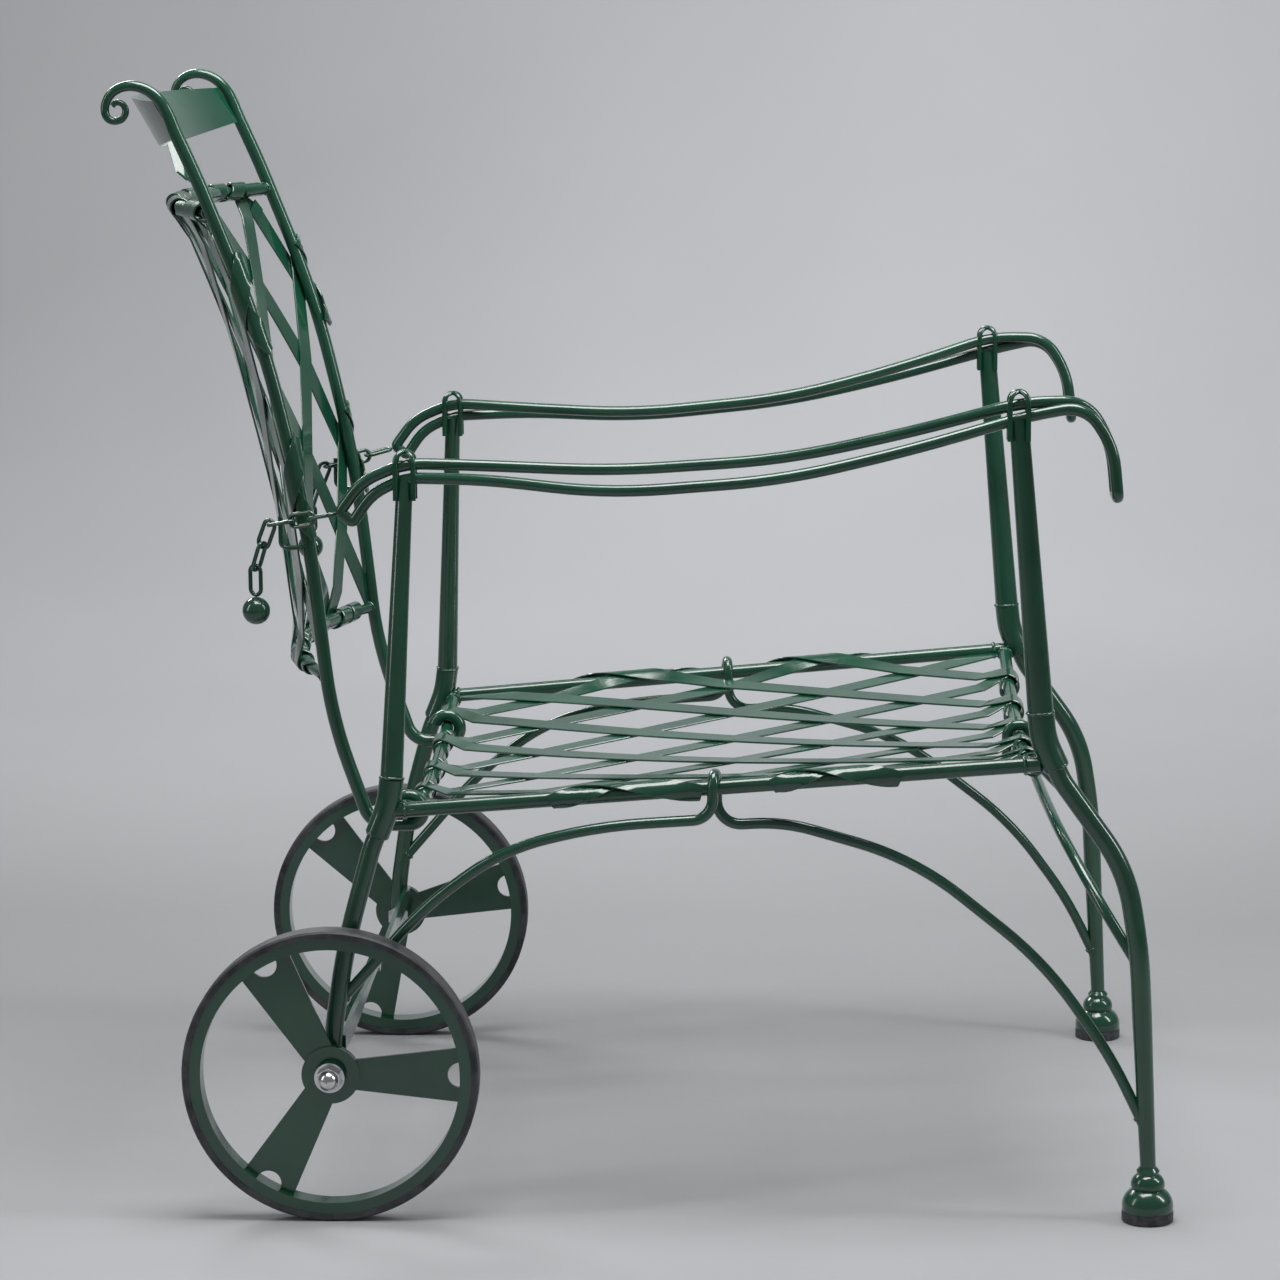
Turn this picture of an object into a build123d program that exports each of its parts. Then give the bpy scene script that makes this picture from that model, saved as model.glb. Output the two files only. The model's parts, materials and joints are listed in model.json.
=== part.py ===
"""A wrought garden armchair with a reclining strap-lattice back, on two rear wheels."""

import os
from math import cos, radians, sin, sqrt, tan

from build123d import *

os.makedirs("parts", exist_ok=True)

# Sides of the chair: the sitter faces +X, so the left hand is +Y
LEFT = 1
RIGHT = -1
SIDES = {"left": LEFT, "right": RIGHT}

# Clearances
running_gap = 0.05
free_gap = 0.4
strap_gap = 0.15
layer_gap = 0.4

# Round stock diameters
post_foot_diameter = 22.0
post_head_diameter = 16.5
rear_post_foot_diameter = 19.5
rear_post_head_diameter = 14.0
socket_diameter = 23.0
rear_socket_diameter = 21.0
front_leg_diameter = 17.0
ankle_diameter = 13.5
rear_leg_diameter = 16.0
side_rail_diameter = 13.0
cross_rail_diameter = 12.0
stile_diameter = 12.0
scroll_diameter = 6.4
back_rail_diameter = 9.5
arm_rod_diameter = 10.0
clip_wire_diameter = 4.4
arch_rod_diameter = 9.5
axle_diameter = 12.0
hook_wire_diameter = 4.0
link_wire_diameter = 3.6

# Plan of the seat frame: socket centres
front_x = 340.0
rear_x = -209.0
front_half_width = 293.0
rear_half_width = 277.0
seat_front_height = 394.0
seat_rear_height = 350.0
seat_sag = 33.5
rear_rail_x = -203.0
front_rail_x = 338.0

# Front socket, leg and foot
front_socket_top = 438.0
front_socket_foot = 392.0
front_socket_kick = 13.0
front_post_head_x = 319.5
front_post_head_half_width = 300.0
foot_x = 434.0
foot_half_width = 303.5
foot_pad_radius = 22.0
foot_pad_height = 9.0
foot_bell_height = 38.0
leg_knee_x = 413.0
leg_knee_height = 304.0
leg_ankle_x = 424.5
leg_ankle_height = 232.0

# Rear socket, post and leg
rear_socket_top = 378.0
rear_socket_foot = 330.0
rear_socket_kick = -13.0
rear_post_head_x = -197.0
rear_post_head_half_width = 241.0
rear_leg_bend_x = -250.0
rear_leg_bend_height = 235.0
rear_leg_end = 14.0

# Wheels
wheel_radius = 127.0
wheel_half_width = 308.5
tyre_width = 22.0
tyre_thickness = 6.0
rim_depth = 10.0
hub_radius = 12.0
hub_disc_radius = 25.0
hub_disc_thickness = 2.0
hub_length = 22.0
spoke_count = 3
spoke_thickness = 3.0
spoke_root_width = 22.0
spoke_tip_width = 50.0
spoke_notch_radius = 11.0
wheel_x = -262.0
nut_width = 19.0
nut_height = 8.0
washer_radius = 13.0
washer_thickness = 1.6
left_wheel_turn = 13.0
right_wheel_turn = 0.0

# Arms: height of the rods over each post, and the loops at the two ends
arm_front_height = 686.0
arm_rear_height = 630.0
arm_stack = 12.5
arm_tip_half_gap = 13.0
arm_rear_tip = (-252.0, 241.0, 601.0)
clip_reach = 7.6
clip_length = 30.0
clip_rise = 12.0

# Arches under the seat, and the bar between the rear legs
side_arch_loop_x = 66.0
side_arch_rear_height = 186.0
side_arch_front_height = 78.0
front_arch_loop_y = 6.0
front_arch_foot_height = 220.0
axle_bar_height = 150.0
axle_bar_thickness = 4.0
axle_bar_disc_radius = 9.0

# Straps of the seat and the back
strap_width = 19.0
strap_thickness = 1.8
wrap_thickness = 2.0
wrap_length = 22.0
seat_columns = 6
seat_rows = 14
back_columns = 5
back_rows = 10

# Back
back_half_width = 195.0
back_top_bow = 55.0
back_bottom_bow = 43.0
back_bottom_height = 452.0
back_top_height = 853.0
crest_top_height = 948.0
crest_end_height = 917.0
crest_middle_height = 903.0
crest_thickness = 2.5
crest_bow = 45.6
crest_lean = 24.9
shell_petals = 5
shell_length = 42.0
shell_lap = 10.0
shell_petal_radius = 5.0
shell_spread = 30.0
hook_height = 566.0
hook_prong_x = -308.0
hook_prong_half_width = 210.0
hook_prong_height = 28.0

# Chains
link_length = 29.2
link_width = 14.5
tight_links = 3
link_play = 0.3
chain_start = 5.0
prong_offset = 1.6
chain_ball_radius = 12.0


def bend_radii(points):
    """The widest bend that the two runs at each corner of a route leave room for."""
    radii = []
    for before, corner, after in zip(points, points[1:], points[2:]):
        run_in = Vector(*corner) - Vector(*before)
        run_out = Vector(*after) - Vector(*corner)
        turn = radians(run_in.get_angle(run_out))
        radii.append(0.45 * min(run_in.length, run_out.length) / tan(turn / 2))
    return radii


def bent_rod(points, diameter, fitted_to=()):
    """A round rod bent along a route, with its ends coped to the pieces that it meets."""
    with BuildPart() as rod:
        with BuildLine() as route:
            FilletPolyline(*points, radius=bend_radii(points))
        with BuildSketch(Plane(origin=route.line @ 0, z_dir=route.line % 0)):
            Circle(diameter / 2)
        sweep(path=route.line)
        for neighbour in fitted_to:
            add(neighbour, mode=Mode.SUBTRACT)
    return rod.part


def taper(foot, head, foot_diameter, head_diameter, fitted_to=()):
    """A straight tapered tube between two points."""
    axis = Vector(*head) - Vector(*foot)
    with BuildPart() as tube:
        with BuildSketch(Plane(origin=foot, z_dir=axis)):
            Circle(foot_diameter / 2)
        with BuildSketch(Plane(origin=head, z_dir=axis)):
            Circle(head_diameter / 2)
        loft()
        for neighbour in fitted_to:
            add(neighbour, mode=Mode.SUBTRACT)
    return tube.part


def save(piece, name):
    """Label a finished piece and write it."""
    piece.label = name
    export_step(piece, f"parts/{name}.step")


def rail_height(x):
    """Height of the side rails' axis at a place along the seat."""
    slope = (seat_front_height - seat_rear_height) / (front_x - rear_x)
    return seat_rear_height + slope * (x - rear_x)


def rail_half_width(x):
    """Half the seat's width at a place along it."""
    slope = (front_half_width - rear_half_width) / (front_x - rear_x)
    return rear_half_width + slope * (x - rear_x)


def bow_depth(y, half_width, depth):
    """Depth of a circular bow below its chord, at a distance from its middle."""
    radius = (half_width**2 + depth**2) / (2 * depth)
    return sqrt(radius**2 - y**2) - (radius - depth)


def on_side(side, points):
    """Points given for the left hand, moved to the wanted side."""
    return [(x, side * y, z) for x, y, z in points]


def straight_on(before, last, length):
    """The point that carries a run straight on past its end."""
    run = Vector(*last) - Vector(*before)
    return tuple(Vector(*last) + run.normalized() * length)


def arc_rod(start, middle, end, diameter, fitted_to=()):
    """A round rod bent to one even arc."""
    with BuildPart() as rod:
        with BuildLine() as route:
            ThreePointArc(start, middle, end)
        with BuildSketch(Plane(origin=route.line @ 0, z_dir=route.line % 0)):
            Circle(diameter / 2)
        sweep(path=route.line)
        for neighbour in fitted_to:
            add(neighbour, mode=Mode.SUBTRACT)
    return rod.part


# Front sockets and legs
front_sockets = {}
front_legs = {}
for name, side in SIDES.items():
    socket_route = on_side(side, [
        (front_x, front_half_width, front_socket_top),
        (front_x + 0.2 * front_socket_kick, front_half_width, 0.5 * (front_socket_top + front_socket_foot)),
        (front_x + front_socket_kick, front_half_width, front_socket_foot),
    ])
    front_sockets[side] = bent_rod(socket_route, socket_diameter)
    save(front_sockets[side], f"{name}_front_socket")

    knee = (leg_knee_x, side * (front_half_width + foot_half_width) / 2, leg_knee_height)
    ankle = (leg_ankle_x, side * foot_half_width, leg_ankle_height)
    foot_top = (foot_x, side * foot_half_width, foot_pad_height + foot_bell_height)
    taper_start = straight_on(ankle, foot_top, -0.72 * (leg_ankle_height - foot_top[2]))
    with BuildPart() as front_leg:
        leg_points = [
            socket_route[-1],
            straight_on(socket_route[1], socket_route[2], 14.0),
            knee,
            ankle,
            taper_start,
        ]
        with BuildLine() as route:
            FilletPolyline(*leg_points, radius=bend_radii(leg_points))
        with BuildSketch(Plane(origin=route.line @ 0, z_dir=route.line % 0)):
            Circle(front_leg_diameter / 2)
        sweep(path=route.line)
        with BuildSketch(Plane(origin=route.line @ 1, z_dir=route.line % 1)):
            Circle(front_leg_diameter / 2)
        with BuildSketch(Plane(origin=foot_top, z_dir=(0, 0, -1))):
            Circle(ankle_diameter / 2)
        loft()
    front_legs[side] = front_leg.part
    save(front_legs[side], f"{name}_front_leg")

    foot_centre = (foot_x, side * foot_half_width, 0)
    with BuildPart() as foot_pad:
        with BuildSketch(Plane(origin=foot_centre)):
            Circle(foot_pad_radius)
        extrude(amount=foot_pad_height)
        chamfer(foot_pad.edges().group_by(Axis.Z)[0], 1.0)
    save(foot_pad.part, f"{name}_foot_pad")

    with BuildPart() as foot_bell:
        with BuildSketch(Plane(origin=foot_centre, x_dir=(1, 0, 0), z_dir=(0, -1, 0))):
            with BuildLine():
                lip = (foot_pad_radius - 0.5, foot_pad_height)
                waist = (0.62 * foot_pad_radius, foot_pad_height + 0.50 * foot_bell_height)
                bead = (0.66 * foot_pad_radius, foot_pad_height + 0.56 * foot_bell_height)
                neck = (0.42 * foot_pad_radius, foot_pad_height + 0.84 * foot_bell_height)
                collar = (0.45 * foot_pad_radius, foot_pad_height + 0.92 * foot_bell_height)
                rim = (0.34 * foot_pad_radius, foot_pad_height + foot_bell_height)
                Line((0, foot_pad_height), lip)
                shoulder = (0.91 * foot_pad_radius, foot_pad_height + 0.32 * foot_bell_height)
                ThreePointArc(lip, shoulder, waist)
                Line(waist, bead)
                belly = (0.62 * foot_pad_radius, foot_pad_height + 0.71 * foot_bell_height)
                ThreePointArc(bead, belly, neck)
                Line(neck, collar)
                Line(collar, rim)
                Line(rim, (0, foot_pad_height + foot_bell_height))
                Line((0, foot_pad_height + foot_bell_height), (0, foot_pad_height))
            make_face()
        revolve(axis=Axis(foot_centre, (0, 0, 1)))
    save(foot_bell.part, f"{name}_foot_bell")

# Rear sockets and legs, bored for the axle bolts
leg_half_width = wheel_half_width - hub_length / 2 - free_gap - rear_leg_diameter / 2
rear_sockets = {}
rear_legs = {}
for name, side in SIDES.items():
    socket_route = on_side(side, [
        (rear_x, rear_half_width, rear_socket_top),
        (rear_x + 0.25 * rear_socket_kick, rear_half_width, 0.5 * (rear_socket_top + rear_socket_foot)),
        (rear_x + rear_socket_kick, rear_half_width, rear_socket_foot),
    ])
    rear_sockets[side] = bent_rod(socket_route, rear_socket_diameter)
    save(rear_sockets[side], f"{name}_rear_socket")

    with BuildPart() as rear_leg:
        leg_points = [
            socket_route[-1],
            straight_on(socket_route[1], socket_route[2], 14.0),
            (rear_leg_bend_x, side * (rear_half_width + leg_half_width) / 2, rear_leg_bend_height),
            (wheel_x, side * leg_half_width, wheel_radius + 2 * rear_leg_end),
            (wheel_x, side * leg_half_width, wheel_radius - rear_leg_end),
        ]
        with BuildLine() as route:
            FilletPolyline(*leg_points, radius=bend_radii(leg_points))
        with BuildSketch(Plane(origin=route.line @ 0, z_dir=route.line % 0)):
            Circle(rear_leg_diameter / 2)
        sweep(path=route.line)
        with BuildSketch(Plane(origin=(wheel_x, 0, wheel_radius), z_dir=(0, side, 0))):
            Circle(axle_diameter / 2)
        extrude(amount=2 * leg_half_width, mode=Mode.SUBTRACT)
    rear_legs[side] = rear_leg.part
    save(rear_legs[side], f"{name}_rear_leg")

# Seat frame: two straight side rails and two cross rails that dip in the middle
side_rails = {}
for name, side in SIDES.items():
    with BuildPart() as side_rail:
        start = (rear_x, side * rear_half_width, seat_rear_height)
        end = (front_x, side * front_half_width, seat_front_height)
        with BuildLine() as route:
            Line(start, end)
        with BuildSketch(Plane(origin=start, z_dir=route.line % 0)):
            Circle(side_rail_diameter / 2)
        sweep(path=route.line)
        for neighbour in (rear_sockets[side], rear_legs[side], front_sockets[side], front_legs[side]):
            add(neighbour, mode=Mode.SUBTRACT)
    side_rails[side] = side_rail.part
    save(side_rails[side], f"{name}_side_rail")


def cross_rail(x, diameter, fitted_to=()):
    """A cross rail of the seat at a place along it."""
    end = rail_half_width(x) - side_rail_diameter / 4
    drop = bow_depth(end, rail_half_width(x), seat_sag)
    height = rail_height(x)
    middle = (x, 0, height - seat_sag)
    return arc_rod((x, -end, height - drop), middle, (x, end, height - drop), diameter, fitted_to)


corner_pieces = [*front_sockets.values(), *front_legs.values(), *side_rails.values()]
front_rail = cross_rail(front_rail_x, cross_rail_diameter, corner_pieces)
save(front_rail, "front_rail")
corner_pieces = [*rear_sockets.values(), *rear_legs.values(), *side_rails.values()]
rear_rail = cross_rail(rear_rail_x, cross_rail_diameter, corner_pieces)
save(rear_rail, "rear_rail")

# Arms: each is an upper and a lower rod, stacked over the posts and joined at both tips
arm_rods = {}
for name, side in SIDES.items():
    front_y = front_post_head_half_width
    rear_y = rear_post_head_half_width
    lower = on_side(side, [
        (401.0, front_y, 622.0),
        (401.0, front_y + arm_tip_half_gap, 622.0),
        (397.0, front_y + arm_tip_half_gap, 664.0),
        (374.0, front_y + 8.0, 698.0),
        (front_post_head_x + 8.0, front_y, arm_front_height + 3.0),
        (229.0, 305.0, 661.0),
        (124.0, 309.0, 637.0),
        (-22.0, 293.0, 624.0),
        (-126.0, 262.0, 632.0),
        (rear_post_head_x, rear_y, arm_rear_height + 1.0),
        (-226.0, rear_y, 617.0),
        (-242.0, rear_y, 593.0),
        (-247.5, rear_y, 597.5),
    ])
    upper = on_side(side, [
        (401.0, front_y, 622.0),
        (401.0, front_y - arm_tip_half_gap, 622.0),
        (397.0, front_y - arm_tip_half_gap, 664.0),
        (376.0, front_y - 8.0, 700.0),
        (front_post_head_x + 4.0, front_y, arm_front_height + arm_stack + 2.0),
        (229.0, 272.0, 672.0),
        (124.0, 249.0, 647.0),
        (-22.0, 227.0, 635.0),
        (-126.0, 231.0, 640.0),
        (rear_post_head_x, rear_y, arm_rear_height + arm_stack + 1.0),
        (-234.0, rear_y, 628.0),
        (-253.0, rear_y, 602.0),
        (-247.5, rear_y, 597.5),
    ])
    arm_rods[side] = (bent_rod(lower, arm_rod_diameter), bent_rod(upper, arm_rod_diameter))
    save(arm_rods[side][0], f"{name}_arm_lower_rod")
    save(arm_rods[side][1], f"{name}_arm_upper_rod")

# Posts, saddled under the arms
posts = []
for name, side in SIDES.items():
    front_post = taper(
        (front_x, side * front_half_width, front_socket_top),
        (front_post_head_x, side * front_post_head_half_width, arm_front_height),
        post_foot_diameter, post_head_diameter, arm_rods[side] + (front_sockets[side],))
    save(front_post, f"{name}_front_post")
    rear_post = taper(
        (rear_x, side * rear_half_width, rear_socket_top),
        (rear_post_head_x, side * rear_post_head_half_width, arm_rear_height),
        rear_post_foot_diameter, rear_post_head_diameter, arm_rods[side] + (rear_sockets[side],))
    save(rear_post, f"{name}_rear_post")
    posts += [front_post, rear_post]

# Wire clips that cross over the stacked arm rods and hold them to the posts
with BuildPart() as arm_clips:
    for side in SIDES.values():
        for x, y, height in (
            (front_post_head_x, front_post_head_half_width, arm_front_height + arm_stack),
            (rear_post_head_x, rear_post_head_half_width, arm_rear_height + arm_stack),
        ):
            for lean in (1, -1):
                reach = clip_reach
                clip_points = [
                    (x - reach, side * y - lean * reach, height - clip_length),
                    (x - reach, side * y - lean * reach, height + 0.6 * clip_rise),
                    (x, side * y, height + clip_rise),
                    (x + reach, side * y + lean * reach, height + 0.6 * clip_rise),
                    (x + reach, side * y + lean * reach, height - clip_length),
                ]
                with BuildLine() as route:
                    FilletPolyline(*clip_points, radius=bend_radii(clip_points))
                with BuildSketch(Plane(origin=route.line @ 0, z_dir=route.line % 0)):
                    Circle(clip_wire_diameter / 2)
                sweep(path=route.line)
    for neighbour in posts + [rod for pair in arm_rods.values() for rod in pair]:
        add(neighbour, mode=Mode.SUBTRACT)
save(arm_clips.part, "arm_clips")


def front_leg_x(height):
    """Where the straight lower run of the front leg stands at a height."""
    share = (leg_ankle_height - height) / (leg_ankle_height - foot_pad_height - foot_bell_height)
    return leg_ankle_x + share * (foot_x - leg_ankle_x)


# Arches: each side has one that climbs outside the rail, hops over it and runs down inside
for name, side in SIDES.items():
    x = side_arch_loop_x
    beside = side_rail_diameter / 2 + arch_rod_diameter / 2 + strap_gap
    outside = rail_half_width(x) + beside
    inside = rail_half_width(x) - beside
    hop = rail_height(x) + beside
    arch_points = on_side(side, [
        (wheel_x + 4.0, (rear_half_width + leg_half_width) / 2, side_arch_rear_height - 4.0),
        (-180.0, outside - 8.0, 271.0),
        (-112.0, outside, 321.0),
        (-30.0, outside, 341.0),
        (x - 2.0, outside, 347.0),
        (x - 1.0, outside, hop),
        (x + 1.0, inside, hop),
        (x + 2.0, inside, 337.0),
        (125.0, inside, 340.0),
        (235.0, inside + 4.0, 309.0),
        (345.0, inside + 15.0, 222.0),
        (402.0, foot_half_width - 4.0, 142.0),
        (front_leg_x(side_arch_front_height), foot_half_width, side_arch_front_height),
    ])
    side_arch = bent_rod(arch_points, arch_rod_diameter, (front_legs[side], rear_legs[side]))
    save(side_arch, f"{name}_side_arch")

# Front arch, hopping over the front rail beside its middle
beside = cross_rail_diameter / 2 + arch_rod_diameter / 2 + strap_gap
dip = bow_depth(front_arch_loop_y, rail_half_width(front_rail_x), seat_sag)
hop = rail_height(front_rail_x) - dip + beside
before = front_rail_x + beside
behind = front_rail_x - beside
foot = (front_leg_x(front_arch_foot_height), foot_half_width, front_arch_foot_height)


def along_front_arch(top_x, height):
    """How far forward the leaning arch stands at a height."""
    share = (height - front_arch_foot_height) / (338.0 - front_arch_foot_height)
    return foot[0] + share * (top_x - foot[0])


front_arch_points = [
    (foot[0], -foot[1], foot[2]),
    (along_front_arch(before, 276.0), -268.0, 276.0),
    (along_front_arch(before, 316.0), -200.0, 316.0),
    (along_front_arch(before, 334.0), -100.0, 334.0),
    (before, front_arch_loop_y - 2.0, 338.0),
    (before, front_arch_loop_y - 1.0, hop + 0.4),
    (behind, front_arch_loop_y + 1.0, hop + 0.4),
    (behind, front_arch_loop_y + 2.0, 338.0),
    (along_front_arch(behind, 334.0), 100.0, 334.0),
    (along_front_arch(behind, 316.0), 200.0, 316.0),
    (along_front_arch(behind, 276.0), 268.0, 276.0),
    foot,
]
front_arch = bent_rod(front_arch_points, arch_rod_diameter, front_legs.values())
save(front_arch, "front_arch")

# Leaf-shaped bar between the rear legs
with BuildPart() as axle_bar:
    bar_x = wheel_x + rear_leg_diameter / 2 - 1.0
    with BuildSketch(Plane(origin=(bar_x, 0, axle_bar_height), x_dir=(0, 1, 0), z_dir=(1, 0, 0))):
        half = leg_half_width
        for hand in SIDES.values():
            with BuildLine():
                Spline((0, 3.0), (hand * 0.4 * half, 5.0), (hand * 0.78 * half, 9.0), (hand * half, 6.0))
                Line((hand * half, 6.0), (hand * half, -6.0))
                Spline((hand * half, -6.0), (hand * 0.78 * half, -9.0), (hand * 0.4 * half, -5.0), (0, -3.0))
                Line((0, -3.0), (0, 3.0))
            make_face()
        Circle(axle_bar_disc_radius)
    extrude(amount=axle_bar_thickness)
    for neighbour in rear_legs.values():
        add(neighbour, mode=Mode.SUBTRACT)
save(axle_bar.part, "axle_bar")

# Wheels
rim_outer = wheel_radius - tyre_thickness
rim_inner = rim_outer - rim_depth
rim_width = tyre_width - 2.0
rim_wall = 2.5
for name, side in SIDES.items():
    centre = (wheel_x, side * wheel_half_width, wheel_radius)
    face = Plane(origin=centre, x_dir=(1, 0, 0), z_dir=(0, -1, 0))
    turn = left_wheel_turn if side == LEFT else right_wheel_turn
    with BuildPart() as wheel_hub:
        with BuildSketch(face):
            Circle(hub_radius)
        extrude(amount=hub_length / 2, both=True)
        far_face = face.offset(-spoke_thickness / 2 - hub_disc_thickness)
        with BuildSketch(face.offset(spoke_thickness / 2), far_face):
            Circle(hub_disc_radius)
        extrude(amount=hub_disc_thickness)
        with BuildSketch(face):
            Circle(axle_diameter / 2 + running_gap)
        extrude(amount=hub_length, both=True, mode=Mode.SUBTRACT)
    save(wheel_hub.part, f"{name}_wheel_hub")

    with BuildPart() as wheel_spokes:
        for spoke in range(spoke_count):
            angle = radians(turn + spoke * 360 / spoke_count)
            with BuildSketch(Plane(origin=centre, x_dir=(cos(angle), 0, sin(angle)), z_dir=(0, -1, 0))):
                with BuildLine():
                    Polyline(
                        (0, -spoke_root_width / 2),
                        (rim_outer, -spoke_tip_width / 2),
                        (rim_outer, spoke_tip_width / 2),
                        (0, spoke_root_width / 2),
                        close=True,
                    )
                make_face()
                Circle(rim_inner, mode=Mode.INTERSECT)
                with Locations((rim_inner, 0)):
                    Circle(spoke_notch_radius, mode=Mode.SUBTRACT)
                Circle(hub_radius, mode=Mode.SUBTRACT)
            extrude(amount=spoke_thickness / 2, both=True)
    save(wheel_spokes.part, f"{name}_wheel_spokes")

    cross_section = Plane(origin=centre, x_dir=(1, 0, 0), z_dir=(0, 0, 1))
    spin_axis = Axis(centre, (0, 1, 0))
    with BuildPart() as wheel_rim:
        with BuildSketch(cross_section):
            with Locations(((rim_inner + rim_outer) / 2, 0)):
                Rectangle(rim_depth, rim_width)
            with Locations(((rim_inner + rim_outer + rim_wall) / 2, 0)):
                Rectangle(rim_depth - rim_wall, rim_width - 2 * rim_wall, mode=Mode.SUBTRACT)
        revolve(axis=spin_axis)
    save(wheel_rim.part, f"{name}_wheel_rim")

    with BuildPart() as wheel_tyre:
        with BuildSketch(cross_section):
            with Locations((rim_outer + tyre_thickness / 2, 0)):
                tread = Rectangle(tyre_thickness, tyre_width)
            chamfer(tread.vertices().group_by(Axis.X)[-1], 1.6)
            with Locations(((rim_inner + rim_outer + rim_wall) / 2, 0)):
                Rectangle(rim_depth - rim_wall, rim_width - 2 * rim_wall)
        revolve(axis=spin_axis)
    save(wheel_tyre.part, f"{name}_wheel_tyre")

# Axle bolts, washers and acorn nuts
with BuildPart() as axle_bolts:
    for side in SIDES.values():
        leg_inside = leg_half_width - rear_leg_diameter / 2
        nut_start = wheel_half_width + hub_length / 2 + free_gap + washer_thickness
        head_face = Plane(origin=(wheel_x, side * (leg_inside - 4.0), wheel_radius), z_dir=(0, side, 0))
        with BuildSketch(head_face):
            Circle(axle_diameter / 2)
        extrude(amount=nut_start + nut_height - 1.0 - leg_inside + 4.0)
        with BuildSketch(head_face):
            RegularPolygon(radius=nut_width / 2, side_count=6, major_radius=False)
        extrude(amount=5.0)
    for neighbour in rear_legs.values():
        add(neighbour, mode=Mode.SUBTRACT)
save(axle_bolts.part, "axle_bolts")

with BuildPart() as axle_washers:
    for side in SIDES.values():
        washer_start = wheel_half_width + hub_length / 2 + free_gap
        with BuildSketch(Plane(origin=(wheel_x, side * washer_start, wheel_radius), z_dir=(0, side, 0))):
            Circle(washer_radius)
            Circle(axle_diameter / 2, mode=Mode.SUBTRACT)
        extrude(amount=washer_thickness)
save(axle_washers.part, "axle_washers")

with BuildPart() as axle_nuts:
    for side in SIDES.values():
        nut_face = Plane(origin=(wheel_x, side * nut_start, wheel_radius), z_dir=(0, side, 0))
        with BuildSketch(nut_face):
            RegularPolygon(radius=nut_width / 2, side_count=6, major_radius=False)
        extrude(amount=nut_height)
        with Locations(nut_face.offset(nut_height)):
            Sphere(0.46 * nut_width)
        with BuildSketch(nut_face.offset(-2.0)):
            Circle(axle_diameter / 2)
        extrude(amount=nut_height + 1.0, mode=Mode.SUBTRACT)
save(axle_nuts.part, "axle_nuts")


# Straps of the seat: two layers that cross, wrapped round the rails where they end. At the rear
# they are spread, so that the ones beside the stiles pass outside the stiles' eyes.
beside_stile = 1 - 4 / seat_rows
eye_outside = back_half_width + stile_diameter / 2 + 1.1 * strap_width
strap_spread = (eye_outside / (beside_stile * rail_half_width(rear_rail_x)) - 1) / (1 - beside_stile**2)


def seat_point(row, column):
    """A point of the dished seat on its lattice of rows and columns."""
    x = rear_rail_x + (front_rail_x - rear_rail_x) * column / seat_columns
    half = rail_half_width(x)
    share = 2 * row / seat_rows - 1
    spread = strap_spread * (1 - column / seat_columns)
    y = half * share * (1 + spread * (1 - share**2))
    return Vector(x, y, rail_height(x) - bow_depth(y, half, seat_sag))


def strap_layer(point_at, rows, columns, mirrored, offset, rails):
    """One layer of straps on a lattice, each lofted through flat sections and cut at the rails."""

    def place(position, start):
        row = position + start
        return (rows - row if mirrored else row), position

    with BuildPart() as layer:
        for start in range(-2 * ((columns - 1) // 2), rows, 2):
            first = max(0, -start)
            last = min(columns, rows - start)
            steps = 2 * (last - first)
            sections = []
            for step in range(steps + 1):
                position = first + (last - first) * step / steps
                row, column = place(position, start)
                centre = point_at(row, column)
                row_ahead, column_ahead = place(position + 0.01, start)
                along = (point_at(row_ahead, column_ahead) - centre).normalized()
                over_rows = point_at(row + 0.01, column) - point_at(row - 0.01, column)
                over_columns = point_at(row, column + 0.01) - point_at(row, column - 0.01)
                outward = over_columns.cross(over_rows).normalized()
                across = outward.cross(along)
                cut = Plane(origin=centre + outward * offset, x_dir=across, z_dir=along)
                with BuildSketch(cut) as section:
                    Rectangle(strap_width, strap_thickness)
                sections.append(section.sketch)
            loft(sections, ruled=True, clean=False)
        for rail in rails:
            add(rail, mode=Mode.SUBTRACT)
    scrap = strap_width**2 * strap_thickness / 2
    return Compound(children=[strap for strap in layer.part.solids() if strap.volume > scrap])


def wrap(centre, direction, rail_diameter):
    """The turn of a strap round a rail."""
    inner = rail_diameter / 2 + strap_gap
    with BuildPart() as turn:
        with BuildSketch(Plane(origin=centre - direction * (wrap_length / 2), z_dir=direction)):
            Circle(inner + wrap_thickness)
            Circle(inner, mode=Mode.SUBTRACT)
        extrude(amount=wrap_length)
    return turn.part


wrap_growth = 2 * (wrap_thickness + 2 * strap_gap)
layer_offset = (strap_thickness + layer_gap) / 2
seat_rails = [
    cross_rail(front_rail_x, cross_rail_diameter + wrap_growth),
    cross_rail(rear_rail_x, cross_rail_diameter + wrap_growth),
]
for side in SIDES.values():
    rear_end = (rear_x, side * rear_half_width, seat_rear_height)
    front_end = (front_x, side * front_half_width, seat_front_height)
    thickness = side_rail_diameter + wrap_growth
    seat_rails.append(taper(rear_end, front_end, thickness, thickness))
save(strap_layer(seat_point, seat_rows, seat_columns, False, -layer_offset, seat_rails), "seat_straps_lower")
save(strap_layer(seat_point, seat_rows, seat_columns, True, layer_offset, seat_rails), "seat_straps_upper")

wraps = []
for row in range(2, seat_rows, 2):
    for column in (0, seat_columns):
        direction = (seat_point(row + 0.05, column) - seat_point(row - 0.05, column)).normalized()
        wraps.append(wrap(seat_point(row, column), direction, cross_rail_diameter))
for column in range(2, seat_columns, 2):
    for row in (0, seat_rows):
        direction = (seat_point(row, column + 0.05) - seat_point(row, column - 0.05)).normalized()
        wraps.append(wrap(seat_point(row, column), direction, side_rail_diameter))
save(Compound(children=wraps), "seat_strap_wraps")

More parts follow.
